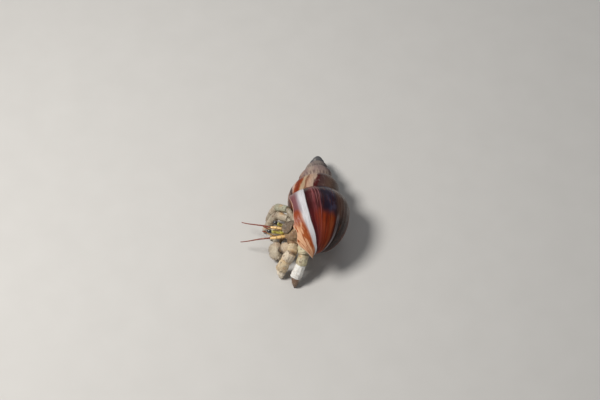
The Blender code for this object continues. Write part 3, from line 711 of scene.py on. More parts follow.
# Partly the shield's own dark brown, partly painted shade: darkened for the shade that the shell's lip
# casts on it.
SHIELD_SHADED_TINT = (0.115, 0.078, 0.048, 1.0)
SHIELD_KNOBS = (0.14, 0.30, 0.38)    # smallest and largest radius, and how far they rise
SHIELD_KNOB_COUNT = 260


def picked(rings, where, number):
    """Numbers of random corners of a tube, most of them where it says so."""
    weights = np.broadcast_to(where, rings.shape[:2]).ravel() + 1e-6
    return chance.choice(weights.size, number, p=weights / weights.sum())


def knobs(rings, out, number, sizes, where):
    """Raise round knobs at random spots of a tube: its new rings, and how far up a knob each corner is."""
    smallest, largest, rise = sizes
    flat = rings.reshape(-1, 3)
    push = np.zeros(len(flat))
    picks = picked(rings, where, number)
    for pick, size in zip(picks, chance.uniform(smallest, largest, number)):
        away = np.sum((flat - flat[pick]) ** 2, axis=1) / size ** 2
        under_it = away < 1.0
        push[under_it] = np.maximum(push[under_it], (1.0 - away[under_it]) ** 1.5 * size)
    share = push / largest
    moved = flat + out.reshape(-1, 3) * (push * rise)[:, None]
    return moved.reshape(rings.shape), share.reshape(rings.shape[:2])


shield_line = eased(SHIELD_LINE, SHIELD_RINGS)
shield_rings = tube(shield_line[:, :3], LEFT, 1.08 * shield_line[:, 3], shield_line[:, 4],
                    SHIELD_SIDES, 2.3)
shield_along = np.linspace(0.0, 1.0, SHIELD_RINGS)[:, None]
shield_across = np.cos(swing(SHIELD_SIDES))[None, :]
shield_up = unit(np.cross(SHIELD_FORWARD, LEFT))
droop = 1.5 * shield_across ** 2 * np.sin(math.pi * shield_along) ** 0.5
shield_rings = shield_rings - shield_up * droop[..., None]
shield_out = outward(shield_rings)
cross_groove = bump(shield_along, 0.46 + 0.10 * shield_across ** 2, 0.018)
side_grooves = bump(abs(shield_across), 0.55 + 0.2 * shield_along, 0.05) * smooth(shield_along, 0.3, 0.45)
groove = cross_groove + 0.6 * side_grooves
shield_rings = shield_rings - shield_out * (0.30 * groove)[..., None]
shield_grainy = smooth(shield_along, 0.35, 0.75)
shield_rings, shield_knob = knobs(shield_rings, shield_out, SHIELD_KNOB_COUNT, SHIELD_KNOBS, shield_grainy)

crust = Paint("chitin", 0.42, coat=0.15, coat_roughness=0.25)
crust_place = crust.place()
crust_cloud = crust.speckle(crust_place, 230.0, 4.0, 0.6)
crust_spots = crust.speckle(crust_place, 760.0, 3.0)
crust_fine = crust.speckle(crust_place, 3200.0, 2.0)
crust_beads = crust.pebbles(crust_place, 2600.0)
crust_dirt = crust.note("dirt")
crust_colour = crust.lay(crust.note("tint", "Color"), (0.26, 0.17, 0.11),
                         crust.fade(crust_cloud, 0.42, 0.68), crust_dirt, 0.60)
crust_colour = crust.lay(crust_colour, (0.11, 0.055, 0.035),
                         crust.fade(crust_spots, 0.60, 0.68), crust_dirt, 0.75)
crust_colour = crust.lay(crust_colour, (0.55, 0.45, 0.33), crust.fade(crust_fine, 0.55, 0.75), 0.4)
crust_colour = crust.lay(crust_colour, CHITIN_KNOB, crust.note("knob"), 0.75)
crust.colour(crust.lay(crust_colour, (0.05, 0.026, 0.018), crust.note("shade")))
crust.roughness(crust.plus(0.34, crust.times(crust_spots, 0.3)))
crust.relief(crust.plus(crust.times(crust_beads, -0.7), crust_spots), 0.00010)

shield = Cast()
add_tube(shield, shield_rings, tint=SHIELD_SHADED_TINT, knob=shield_knob, shade=0.7 * groove, dirt=1.0)
head_shield = shield.piece("head_shield", crust)
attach(head_shield, "root")
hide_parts("shield")

# ======================================================================= EYES
# Black kidney-shaped corneas, glossy and finely faceted, on flattened yellow stalks of thin
# chitin. The stalks stand side by side under the shield, each with a spiny scale at its root.

CORNEA = (1.05, 1.25, 1.55)
EYES = (("left", (-16.9, -16.9, 17.0), (-23.6, -16.4, 17.5)),
        ("right", (-15.9, -14.0, 17.9), (-20.6, -12.3, 19.0)))
STALK_GIRTH = ((0.55,), (0.95,), (1.12,), (0.98,), (0.86,), (0.88,), (1.0,), (1.06,), (0.9,))
STALK_RINGS = 46
STALK_SIDES = 40
SCALE_RINGS = 18

jet = Paint("cornea", 0.07, coat=1.0, coat_roughness=0.03)
facets = jet.pebbles(jet.place(), 9000.0)
jet.colour(jet.mix(facets, (0.006, 0.006, 0.008), (0.022, 0.018, 0.016)))
jet.roughness(jet.plus(0.05, jet.times(facets, 0.10)))
jet.relief(facets, 0.000008)

stalk_paint = Paint("eyestalk", 0.35, coat=0.3)
stalk_mottle = stalk_paint.speckle(stalk_paint.place(), 900.0, 3.0)
stalk_dabs = stalk_paint.fade(stalk_mottle, 0.4, 0.65)
stalk_colour = stalk_paint.mix(stalk_dabs, (0.52, 0.47, 0.07), (0.30, 0.22, 0.05))
stalk_colour = stalk_paint.lay(stalk_colour, (0.07, 0.03, 0.015), stalk_paint.note("streak"))
stalk_end_ring = stalk_paint.fade(stalk_paint.note("end"), 0.86, 0.97)
stalk_paint.colour(stalk_paint.lay(stalk_colour, (0.56, 0.54, 0.20), stalk_end_ring))
stalk_paint.roughness(stalk_paint.plus(0.25, stalk_paint.times(stalk_mottle, 0.3)))
stalk_paint.relief(stalk_mottle, 0.00005)

for name, root, middle in EYES:
    root = np.array(root)
    middle = np.array(middle)
    forward = unit(middle - root)
    across = unit(np.cross(forward, (0.0, 0.0, 1.0)))
    up = np.cross(across, forward)
    stalk_end = middle - forward * 0.7
    girth = eased(STALK_GIRTH, STALK_RINGS)[:, 0]
    line = np.linspace(root - forward * 0.8, stalk_end, STALK_RINGS)
    rings = tube(line, across, 0.82 * girth, 1.12 * girth, STALK_SIDES)
    upper_side = np.sin(swing(STALK_SIDES))[None, :]
    stalk = Cast()
    add_tube(stalk, rings, streak=smooth(abs(upper_side), 0.90, 0.97) * 0.8,
             end=np.linspace(0.0, 1.0, STALK_RINGS)[:, None])
    scale_line = np.linspace(root + up * 1.0 - forward * 0.4, root + up * 1.15 + forward * 1.9, SCALE_RINGS)
    add_tube(stalk, tube(scale_line, across, np.linspace(0.75, 0.08, SCALE_RINGS),
                         np.linspace(0.22, 0.05, SCALE_RINGS), 20), streak=0.0, end=0.0)
    eyestalk = stalk.piece("eyestalk_" + name + "_skin", stalk_paint)
    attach(eyestalk, "root")
    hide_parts("eyestalk_" + name)

    turn = np.linspace(0.0, math.pi, 40)[1:-1, None]
    spin = np.linspace(0.0, 2.0 * math.pi, 56, endpoint=False)[None, :]
    notch = 1.0 - 0.16 * bump(spin, 1.5 * math.pi, 0.5) * smooth(np.cos(turn), -1.0, 0.2)
    reach = np.stack(np.broadcast_arrays(CORNEA[0] * np.sin(turn) * np.cos(spin) * notch,
                                         CORNEA[1] * np.sin(turn) * np.sin(spin) * notch,
                                         -CORNEA[2] * np.cos(turn)), axis=-1)
    ball = middle + reach[..., :1] * across + reach[..., 1:2] * up + reach[..., 2:] * forward
    eye = Cast()
    add_tube(eye, ball)
    cornea = eye.piece("cornea_" + name, jet)
    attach(cornea, "root")
    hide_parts("eye_" + name)

# ==================================================================== FEELERS
# Long feelers of many short chitin rings on jointed yellow roots, and between them the
# elbowed smelling feelers with their stubby tips. All four grow from under the eyestalks.

PEDUNCLE = (0.88, 0.59, 0.24, 1.0)
PEDUNCLE_DARK = (0.42, 0.21, 0.06)
WHIP = (0.20, 0.028, 0.018, 1.0)
SMELLING_TIP = (0.30, 0.05, 0.03, 1.0)


def bezier(points, count):
    """A curve pulled gently towards each point."""
    layers = np.repeat(np.array(points, float)[None], count, axis=0)
    share = np.linspace(0.0, 1.0, count)[:, None, None]
    while layers.shape[1] > 1:
        layers = layers[:, :-1] * (1.0 - share) + layers[:, 1:] * share
    return layers[:, 0]


def jointed(along, joints, depth):
    """Girth of a jointed feeler: pinched at each joint and swollen just before it."""
    girth = np.ones_like(along)
    for joint in joints:
        girth = girth + 0.14 * bump(along, joint - 0.035, 0.03) - depth * bump(along, joint, 0.012)
    return girth


def joint_marks(along, joints, width):
    return sum(bump(along, joint, width) for joint in joints)[:, None]


def blend(tint, other, share):
    return np.array(tint) + share * (np.array(other) - np.array(tint))


feeler_paint = Paint("feeler", 0.4, coat=0.2)
feeler_grain = feeler_paint.speckle(feeler_paint.place(), 1400.0, 3.0)
feeler_colour = feeler_paint.lay(feeler_paint.note("tint", "Color"), PEDUNCLE_DARK,
                                 feeler_paint.fade(feeler_grain, 0.45, 0.7), 0.6)
feeler_paint.colour(feeler_paint.lay(feeler_colour, (0.06, 0.02, 0.012), feeler_paint.note("joint")))
feeler_paint.roughness(feeler_paint.plus(0.28, feeler_paint.times(feeler_grain, 0.3)))
feeler_paint.relief(feeler_grain, 0.00004)

ROOTS = (("left", ((-15.9, -17.6, 15.2), (-19.0, -18.6, 15.0), (-23.5, -18.3, 14.2))),
         ("right", ((-15.5, -13.9, 16.2), (-19.0, -12.9, 15.3), (-23.3, -12.1, 14.6))))
WHIPS = {"left": ((-23.2, -18.3, 14.2), (-30.0, -18.3, 13.8), (-34.0, -17.4, 9.4), (-38.6, -16.0, 7.0)),
         "right": ((-23.1, -12.0, 14.6), (-30.0, -10.8, 15.4), (-34.5, -8.5, 11.5), (-38.1, -5.5, 9.0))}
SMELLERS = (
    ("left", ((-17.0, -16.3, 14.6), (-21.0, -16.6, 8.5), (-23.0, -15.4, 15.0), (-27.5, -15.6, 16.5))),
    ("right", ((-16.8, -14.9, 14.9), (-20.5, -13.6, 9.0), (-22.5, -14.2, 15.5), (-27.0, -13.2, 17.0))))
ROOT_RINGS = 90
SPUR_RINGS = 14
WHIP_RINGS = 420
RINGS_OF_WHIP = 58.0       # short rings that show along a whip
ROOT_JOINTS = (0.30, 0.62)
SMELLER_JOINTS = (0.28, 0.55, 0.80)
SMELLER_RINGS = 160
UPRIGHT = np.array((0.0, 0.0, 1.0))
SIDEWAYS = np.array((0.0, 1.0, 0.0))

for name, points in ROOTS:
    line = bezier(points, ROOT_RINGS)
    along = np.linspace(0.0, 1.0, ROOT_RINGS)
    girth = jointed(along, ROOT_JOINTS, 0.22) * np.interp(along, (0.0, 0.6, 1.0), (1.0, 0.92, 0.62))
    rings = tube(line, SIDEWAYS, 0.85 * girth, 0.80 * girth, 32, 2.3)
    root = Cast()
    add_tube(root, rings, tint=PEDUNCLE, joint=0.8 * joint_marks(along, (*ROOT_JOINTS, 1.0), 0.02))
    spur_line = np.linspace(line[8] + UPRIGHT * 0.3, line[34] + UPRIGHT * 1.0, SPUR_RINGS)
    add_tube(root, tube(spur_line, SIDEWAYS, np.linspace(0.42, 0.06, SPUR_RINGS),
                        np.linspace(0.3, 0.05, SPUR_RINGS), 14), tint=PEDUNCLE, joint=0.0)
    antenna = root.piece("antenna_root_" + name, feeler_paint)
    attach(antenna, "root")
    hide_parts("antenna_" + name)

    line = bezier(WHIPS[name], WHIP_RINGS)
    along = np.linspace(0.0, 1.0, WHIP_RINGS)
    saw = (along * RINGS_OF_WHIP) % 1.0
    girth = np.interp(along, (0.0, 1.0), (0.42, 0.20)) * (0.90 + 0.16 * saw ** 0.7)
    whip = Cast()
    add_tube(whip, tube(line, UPRIGHT, girth, girth, 14), tint=WHIP,
             joint=0.55 * smooth(saw, 0.80, 0.95)[:, None])
    flagellum = whip.piece("whip_" + name, feeler_paint)
    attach(flagellum, "root")
    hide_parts("flagellum_" + name)

for name, points in SMELLERS:
    line = bezier(points, SMELLER_RINGS)
    along = np.linspace(0.0, 1.0, SMELLER_RINGS)
    taper = np.interp(along, (0.0, 0.8, 0.82, 0.93, 1.0), (0.50, 0.40, 0.30, 0.34, 0.16))
    girth = jointed(along, SMELLER_JOINTS, 0.25) * taper
    tint = blend(PEDUNCLE, SMELLING_TIP, smooth(along, 0.78, 0.84)[:, None])
    smeller = Cast()
    add_tube(smeller, tube(line, SIDEWAYS, girth, girth, 24), tint=tint[:, None],
             joint=0.7 * joint_marks(along, SMELLER_JOINTS, 0.012))
    antennule = smeller.piece("antennule_" + name + "_skin", feeler_paint)
    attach(antennule, "root")
    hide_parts("antennule_" + name)

# ================================================================= MOUTHPARTS
# The outer pair of jaw legs: short hard segments of the same chitin as the legs, joined end
# to end and bent down over the mouth. They grow from the body below the feelers.

JAWS = (("left", ((-15.2, -16.6, 13.2), (-19.0, -17.2, 12.4), (-18.2, -17.4, 7.4))),
        ("right", ((-15.5, -14.4, 13.4), (-19.2, -14.6, 12.4), (-18.6, -14.8, 7.6))))
JAW_JOINTS = (0.22, 0.42, 0.60, 0.78)
JAW_TINT = (0.42, 0.29, 0.17, 1.0)
JAW_RINGS = 110
JAW_BRISTLES = (120, 0.4, 0.8)    # how many, shortest and longest
bristle_roots = []
bristle_tubes = []


def grow_bristles(rings, out, forward, sizes, where=1.0):
    """Note where bristles stand on a tube: root, ways out and along, length, place laid flat."""
    number, shortest, longest = sizes
    count, sides = rings.shape[:2]
    roots = rings.reshape(-1, 3)
    ways_out = out.reshape(-1, 3)
    picks = picked(rings, where, number)
    lengths = chance.uniform(shortest, longest, number)
    for pick, length in zip(picks, lengths):
        laid_flat = (len(bristle_tubes), (pick % sides) / sides, (pick // sides) / (count - 1))
        bristle_roots.append((roots[pick], ways_out[pick], forward, length, laid_flat))
    bristle_tubes.append(forward)


for name, points in JAWS:
    line = bezier(points, JAW_RINGS)
    along = np.linspace(0.0, 1.0, JAW_RINGS)
    girth = jointed(along, JAW_JOINTS, 0.25) * np.interp(along, (0.0, 0.5, 1.0), (1.05, 0.95, 0.42))
    rings = tube(line, SIDEWAYS, 0.85 * girth, girth, 32, 2.4)
    marks = np.clip(joint_marks(along, JAW_JOINTS, 0.014), 0.0, 1.0)
    jaw = Cast()
    add_tube(jaw, rings, tint=JAW_TINT, knob=0.0, shade=0.8 * marks, dirt=1.0)
    grow_bristles(rings, outward(rings), unit(line[-1] - line[40]), JAW_BRISTLES)
    jaw_leg = jaw.piece("jaw_leg_" + name, crust)
    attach(jaw_leg, "root")
    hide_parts("maxilliped_" + name)

# =============================================================== WALKING LEGS
# Two pairs of walking legs out in front of the shell: tubes of lime and chitin, grainy and
# ridged, joined by collars of soft dark skin. Each leg ends in a curved nail with a dark
# horny tip that stands on the floor.

# Painted shade: this grey goes only on the right legs and is darker than the left legs' tints, for the
# shadow they stand in.
SHADED_GREY = (0.46, 0.395, 0.295, 1.0)
GREENISH = (0.62, 0.56, 0.345, 1.0)
CHALK = (0.92, 0.91, 0.88, 1.0)
SAND = (0.72, 0.57, 0.36, 1.0)
PALE = (0.77, 0.67, 0.52, 1.0)
STRAW = (0.90, 0.80, 0.64, 1.0)
# Painted shade: the next two tints also go only on the right legs, darker for the shadow they stand in.
SHADED_TAN = (0.36, 0.31, 0.23, 1.0)
SHADED_OLIVE = (0.36, 0.37, 0.27, 1.0)
UMBER = (0.17, 0.10, 0.065, 1.0)
ORANGE = (0.66, 0.36, 0.13, 1.0)
DABS = (                   # places of the orange dabs, with their reach
    (-12.2, -29.0, 17.6, 1.5), (-15.5, -29.6, 13.3, 1.7), (-16.4, -32.6, 9.0, 1.0),
    (-8.0, -30.4, 16.6, 0.9), (-17.5, -6.6, 18.0, 1.2), (-17.6, -2.6, 19.8, 1.1))
ALONG_X = np.array((1.0, 0.0, 0.0))
ALONG_Y = np.array((0.0, 1.0, 0.0))
TUBE_GIRTH = (             # part of the way along a segment, and its girth there
    (0.0, 0.76), (0.05, 0.87), (0.14, 0.92), (0.30, 0.95), (0.60, 0.98), (0.84, 1.0), (0.94, 0.97),
    (1.0, 0.86))
NAIL_GIRTH = ((0.0, 0.70), (0.08, 0.92), (0.2, 0.92), (0.45, 0.76), (0.7, 0.50), (0.9, 0.26), (1.0, 0.12))
KNUCKLE = np.array(((0.66, 0.22), (0.50, 0.40), (0.30, 0.52), (0.12, 0.58)))    # girth and reach
KNUCKLE_SHADE = (0.35, 0.6, 0.8, 0.9)
CLEAN = 0.22               # how mottled the chalky segment is beside the others
RINGS = 74
AROUND = 80
COLLAR_RINGS = 22
LEG_KNOBS = (0.12, 0.34, 0.42)
LEG_CREST_KNOBS = (0.26, 0.42, 0.60)
NAIL_KNOBS = (0.12, 0.26, 0.42)
LEG_BRISTLES = (90, 0.35, 0.85)
NAIL_BRISTLES = (90, 0.3, 0.7)
LEG_KNOB_COUNT = 260
NAIL_KNOB_COUNT = 70


def near(rings, spots):
    """How near each corner lies to any of the spots."""
    return sum(bump(np.linalg.norm(rings - np.array(spot[:3]), axis=-1), 0.0, spot[3]) for spot in spots)


def dabbed(rings, tint):
    """The tint of a segment with the orange dabs that lie on it."""
    share = np.clip(near(rings, DABS) * (0.5 + grain(rings * 1.3)), 0.0, 0.85)
    return blend(tint, ORANGE, share[..., None])


def hard_tube(cast, start, end, side, half_side, half_up, tint, knob_count):
    """One hard segment from joint to joint; its far end is a knuckle that the next one hangs from."""
    start = np.array(start, float)
    end = np.array(end, float)
    forward = unit(end - start)
    along = np.linspace(0.0, 1.0, RINGS)
    girth = np.interp(along, *zip(*TUBE_GIRTH))
    girth = np.convolve(np.pad(girth, 2, mode="edge"), np.ones(5) / 5.0, mode="valid")
    line = start - forward * 0.35 + (end - start + forward * 0.30) * along[:, None]
    line = np.concatenate([line, line[-1] + forward * (KNUCKLE[:, 1:] * min(half_side, half_up) * 0.8)])
    girth = np.append(girth, KNUCKLE[:, 0])
    along = np.append(along, np.ones(len(KNUCKLE)))[:, None]
    rings = tube(line, side, half_side * girth, half_up * girth, AROUND, 2.35)
    out = outward(rings)
    topward = np.sin(swing(AROUND))[None, :]
    ridge = 0.07 * bump(topward, 1.0, 0.10) + 0.04 * bump(topward, -1.0, 0.12)
    rim = 0.06 * bump(along, 0.95, 0.03) - 0.07 * bump(along, 0.885, 0.018)
    rings = rings + out * (half_up * (ridge + rim) + 0.40 * (grain(rings * 0.45) - 0.5))[..., None]
    upper = np.clip(topward, 0.0, 1.0) * smooth(along, 0.08, 0.25) * smooth(along, 1.0, 0.9)
    crest = upper * bump(topward, 1.0, 0.05)
    rings, knob = knobs(rings, out, knob_count, LEG_KNOBS, 0.20 + upper)
    rings, crest_knob = knobs(rings, out, knob_count // 9, LEG_CREST_KNOBS, crest)
    shade = 0.60 * smooth(along, 0.07, 0.0) + 0.30 * bump(along, 0.885, 0.016)
    shade[RINGS:, 0] = KNUCKLE_SHADE
    add_tube(cast, rings, tint=dabbed(rings, tint), knob=np.maximum(knob, 0.8 * crest_knob), shade=shade,
             dirt=CLEAN if tint == CHALK else 1.0)
    grow_bristles(rings, out, forward, LEG_BRISTLES, 0.15 + upper + bump(along, 0.9, 0.1))


def nail(cast, start, end, side, half_side, half_up, tint):
    """The last segment: a curved nail that stands on the floor on its dark tip."""
    start = np.array(start, float)
    end = np.array(end, float)
    forward = unit(end - start)
    along = np.linspace(0.0, 1.0, RINGS)[:, None]
    girth = np.interp(along[:, 0], *zip(*NAIL_GIRTH))
    bow = unit(np.cross(side, forward))
    line = start - forward * 0.3 + (end - start + forward * 0.3) * along
    line = line + bow * (0.55 * np.sin(math.pi * along) ** 1.2) * np.sign(bow[2] + 1e-6)
    rings = tube(line, side, half_side * girth, half_up * girth, AROUND, 2.4)
    out = outward(rings)
    flutes = 0.05 * np.cos(swing(AROUND) * 5.0) * smooth(along, 0.0, 0.3) * girth[:, None]
    rings = rings + out * (half_up * flutes + 0.15 * (grain(rings * 0.9) - 0.5))[..., None]
    rings, knob = knobs(rings, out, NAIL_KNOB_COUNT, NAIL_KNOBS, smooth(along, 0.75, 0.4))
    rings = above_floor(rings)
    shade = 0.7 * smooth(along, 0.12, 0.0) + 0.9 * smooth(along, 0.82, 0.93)
    add_tube(cast, rings, tint=dabbed(rings, tint), knob=knob, shade=shade, dirt=1.0)
    grow_bristles(rings, out, forward, NAIL_BRISTLES, smooth(along, 0.95, 0.6))


def joint_skin(cast, joint, before, after, side, half_side, half_up):
    """The soft collar between two hard segments."""
    joint = np.array(joint, float)
    back_end = joint - unit(joint - np.array(before, float)) * 1.0
    front_end = joint + unit(np.array(after, float) - joint) * 0.9
    line = eased([back_end, joint, front_end], COLLAR_RINGS)
    wrinkle = 1.0 + 0.06 * np.sin(np.linspace(0.0, 22.0, COLLAR_RINGS))
    rings = tube(line, side, 0.60 * half_side * wrinkle, 0.60 * half_up * wrinkle, 36, 2.2)
    # Painted shade: the narrow parts of the wrinkles are noted for darker skin, as in a crease.
    add_tube(cast, rings, fold=(0.5 + 4.0 * (wrinkle - 1.0))[:, None])


LEGS = {                   # joints from hip to floor, then each segment's half breadth, half height, tint
    "leg2_left": (
        ALONG_X,
        ((-11.8, -22.8, 14.4), (-12.6, -28.1, 16.1), (-15.1, -29.6, 12.4), (-17.9, -31.3, 5.6),
         (-17.9, -33.5, 0.0)),
        (("merus", 2.7, 2.5, SAND), ("carpus", 2.9, 2.5, PALE), ("propodus", 2.9, 2.4, SAND),
         ("dactyl", 2.4, 2.0, STRAW))),
    "leg3_left": (
        ALONG_X,
        ((-7.4, -24.6, 17.8), (-6.7, -28.9, 15.7), (-7.9, -32.1, 11.7), (-10.8, -35.9, 5.4),
         (-11.2, -38.8, 0.0)),
        (("merus", 2.7, 2.5, GREENISH), ("carpus", 2.8, 2.5, GREENISH), ("propodus", 2.7, 2.3, CHALK),
         ("dactyl", 2.1, 1.9, UMBER))),
    # The right legs take the darker tints: painted shade.
    "leg2_right": (
        ALONG_Y,
        ((-12.4, -12.2, 16.8), (-14.6, -9.0, 17.6), (-20.0, -5.4, 15.4), (-22.6, -5.6, 11.6),
         (-25.2, -5.9, 5.0), (-26.9, -6.2, 0.0)),
        (("ischium", 1.4, 1.5, SHADED_TAN), ("merus", 1.9, 2.2, SHADED_GREY), ("carpus", 1.9, 2.0, SHADED_TAN),
         ("propodus", 1.8, 1.8, SHADED_GREY), ("dactyl", 1.5, 1.5, PALE))),
    "leg3_right": (
        ALONG_Y,
        ((-10.6, -13.2, 20.8), (-14.6, -5.4, 20.8), (-20.0, -0.9, 15.7), (-22.5, -1.8, 12.0),
         (-24.2, -1.2, 5.8), (-25.0, -0.5, 0.0)),
        (("ischium", 1.4, 1.5, SHADED_TAN), ("merus", 1.9, 2.2, SHADED_OLIVE), ("carpus", 1.9, 2.0, SHADED_GREY),
         ("propodus", 1.8, 1.8, SHADED_TAN), ("dactyl", 1.5, 1.5, SHADED_GREY))),
}
collars = Cast()
for leg, (side, joints, segments) in LEGS.items():
    hard = Cast()
    for place, (segment, half_side, half_up, tint) in enumerate(segments):
        joint, after = joints[place:place + 2]
        if segment == "dactyl":
            nail(hard, joint, after, side, half_side, half_up, tint)
        else:
            hard_tube(hard, joint, after, side, half_side, half_up, tint, LEG_KNOB_COUNT)
        if place > 0:
            joint_skin(collars, joint, joints[place - 1], after, side, half_side, half_up)
    walking_leg = hard.piece(leg + "_plates", crust)
    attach(walking_leg, "root")
    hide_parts(*[leg + "_" + segment[0] for segment in segments])

# ====================================================================== CLAWS
# The big left claw and the smaller right one, of the legs' lime and chitin: a broad knobbly
# palm with a fixed finger and a hinged one beside it, pale teeth and dark tips. The arms
# are joined like the legs, and the soft collars of all the joints are made last.

PALM = (                   # part of the way to the tip, shift thumbwards, half breadth and thickness
    (-0.06, 0.0, 0.34, 0.5), (0.02, 0.0, 0.5, 0.68), (0.12, 0.0, 0.72, 0.86), (0.3, 0.0, 0.94, 1.0),
    (0.62, 0.0, 1.0, 1.0), (0.86, -0.05, 0.86, 0.88), (1.0, -0.36, 0.56, 0.7), (1.25, -0.4, 0.38, 0.52),
    (1.45, -0.28, 0.26, 0.36), (1.6, -0.16, 0.12, 0.18))
FINGER = (
    (0.98, 0.46, 0.26, 0.42), (1.06, 0.5, 0.34, 0.5), (1.18, 0.5, 0.36, 0.5), (1.32, 0.44, 0.30, 0.44),
    (1.47, 0.28, 0.21, 0.32), (1.6, 0.16, 0.09, 0.14))
FINGER_REACH = 0.6         # how far the fingers go on past the palm, as a part of its length
CLAW_RINGS = 110
CLAW_KNOBS = (0.14, 0.36, 0.46)
CLAW_CREST_KNOBS = (0.30, 0.55, 0.55)
CLAW_BRISTLES = (160, 0.3, 0.75)
ARM_KNOB_COUNTS = (80, 150)
CLAWS = (                  # arm joints and girths, then wrist, knuckle, tip, thumb's side, sizes, knobs
    ("left", ALONG_Y, ((-12.9, -20.7, 10.6), (-14.1, -22.1, 11.8), (-16.9, -23.3, 11.2)),
     (1.8, 2.0), (3.2, 3.0), (-18.2, -22.9, 10.1), (-21.4, -22.0, 7.1), (-23.8, -20.0, 3.2),
     (0.0, 0.8, 0.6), (4.5, 3.0), 620),
    ("right", ALONG_X, ((-14.2, -12.7, 11.8), (-16.2, -11.4, 13.7), (-18.5, -10.7, 12.0)),
     (1.4, 1.5), (1.8, 1.8), (-18.7, -10.8, 11.5), (-21.3, -10.6, 4.7), (-22.7, -11.0, -0.2),
     (-0.8, 0.5, 0.3), (2.9, 1.9), 300),
)
CLAW_TINT = (0.50, 0.43, 0.32, 1.0)
CLAW_ROSE = (0.56, 0.45, 0.33, 1.0)
DARK_SPOTS = (
    (-18.9, -23.8, 11.4, 0.55), (-18.0, -25.0, 10.2, 0.45), (-15.6, -23.6, 13.9, 0.50),
    (-20.8, -24.6, 9.0, 0.35))


def claw_part(outline, wrist, knuckle, tip, thumb, sizes, knob_count, teeth_towards):
    """Rings of a palm or a finger, with its knobs and teeth, and the notes for the paint."""
    steps = eased(outline, CLAW_RINGS)
    half_breadth, half_thickness = sizes
    forward = unit(knuckle - wrist)
    across = unit(thumb - forward * (thumb @ forward))
    part = steps[:, :1]
    line = np.where(part <= 1.0, wrist + (knuckle - wrist) * part,
                    knuckle + (tip - knuckle) * (part - 1.0) / FINGER_REACH)
    line = line + across * (steps[:, 1:2] * half_breadth)
    rings = tube(line, across, steps[:, 2] * half_breadth, steps[:, 3] * half_thickness, CLAW_RINGS, 1.85)
    out = outward(rings)
    thumbward = np.cos(swing(CLAW_RINGS))[None, :]
    facing = bump(thumbward, teeth_towards, 0.22) * smooth(part, 1.0, 1.12) * smooth(part, 1.58, 1.5)
    teeth = facing * np.clip(np.sin(part * 62.0), 0.0, 1.0)
    rings = rings + out * (0.30 * teeth + 0.34 * (grain(rings * 0.45) - 0.5) * (1.0 - facing))[..., None]
    wide = (0.35 + smooth(part, 0.1, 0.4)) * (1.0 - 0.97 * np.clip(2.0 * facing, 0.0, 1.0))
    crest = smooth(abs(thumbward), 0.86, 0.97) * wide * smooth(part, 1.35, 1.0)
    rings, knob = knobs(rings, out, knob_count, CLAW_KNOBS, wide * smooth(part, 1.58, 1.3))
    rings, crest_knob = knobs(rings, out, knob_count // 6, CLAW_CREST_KNOBS, crest)
    rings = above_floor(rings)
    shade = 0.85 * smooth(part, 1.46, 1.56) + 0.7 * smooth(part, 0.06, -0.05)
    # Painted shade: the inner faces of the fingers between the teeth are darkened for the gap between the
    # fingers.
    shade = np.clip(shade + 0.55 * facing * (1.0 - teeth) + 0.8 * near(rings, DARK_SPOTS), 0.0, 1.0)
    rosy = smooth(part, 0.9, 0.2) * smooth(thumbward, 0.45, 0.9)
    grow_bristles(rings, out, forward, CLAW_BRISTLES, wide)
    return rings, {"tint": blend(CLAW_TINT, CLAW_ROSE, rosy[..., None]), "shade": shade, "dirt": 1.0,
                   "knob": np.maximum(np.maximum(knob, crest_knob), teeth)}


for name, side, joints, upper_arm, lower_arm, wrist, knuckle, tip, thumb, sizes, knob_count in CLAWS:
    wrist, knuckle, tip, thumb = (np.array(spot) for spot in (wrist, knuckle, tip, thumb))
    arm = Cast()
    hard_tube(arm, joints[0], joints[1], side, *upper_arm, CLAW_TINT, ARM_KNOB_COUNTS[0])
    hard_tube(arm, joints[1], joints[2], side, *lower_arm, CLAW_ROSE, ARM_KNOB_COUNTS[1])
    joint_skin(collars, joints[1], joints[0], joints[2], side, *upper_arm)
    joint_skin(collars, 0.5 * (np.array(joints[2]) + wrist), joints[1], knuckle, side, *upper_arm)
    rings, notes = claw_part(PALM, wrist, knuckle, tip, thumb, sizes, knob_count, 1.0)
    add_tube(arm, rings, **notes)
    claw_arm = arm.piece("claw_arm_" + name, crust)
    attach(claw_arm, "root")
    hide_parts(*["cheliped_" + name + "_" + segment for segment in ("merus", "carpus", "palm")])

    thumb_cast = Cast()
    rings, notes = claw_part(FINGER, wrist, knuckle, tip, thumb, sizes, knob_count // 5, -1.0)
    add_tube(thumb_cast, rings, **notes)
    claw_finger = thumb_cast.piece("claw_finger_" + name, crust)
    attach(claw_finger, "root")
    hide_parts("cheliped_" + name + "_finger")

joint_collars = collars.piece("joint_collars", flesh)
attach(joint_collars, "root")

# =================================================================== BRISTLES
# Short stiff bristles of brown chitin that stand on the claws, legs and jaw legs and lean
# towards the tips. Each is a thin three-sided spike, rooted in the plate that it grows from.

BRISTLE_HALF_WIDTH = 0.035
THIRDS = (0.0, 2.0944, 4.1888)
BRISTLE_FACES = ((0, 1, 4, 3), (1, 2, 5, 4), (2, 0, 3, 5), (3, 4, 6), (4, 5, 6), (5, 3, 6), (2, 1, 0))
PATCH_WAYS = np.array(((-1, -1), (1, -1), (0, 1), (-0.5, -0.5), (0.5, -0.5), (0, 0.5), (0, 0)))
PATCH = 0.003              # room on the flat map that one bristle takes
MARGIN = 0.05              # edge left round each tube's tile on the flat map

bristle_paint = Paint("bristle", 0.4)
bristle_grain = bristle_paint.speckle(bristle_paint.place(), 800.0)
bristle_paint.colour(bristle_paint.mix(bristle_grain, (0.10, 0.05, 0.025), (0.30, 0.19, 0.10)))
bristle_paint.roughness(bristle_paint.plus(0.3, bristle_paint.times(bristle_grain, 0.2)))
bristle_paint.relief(bristle_grain, 0.00001)

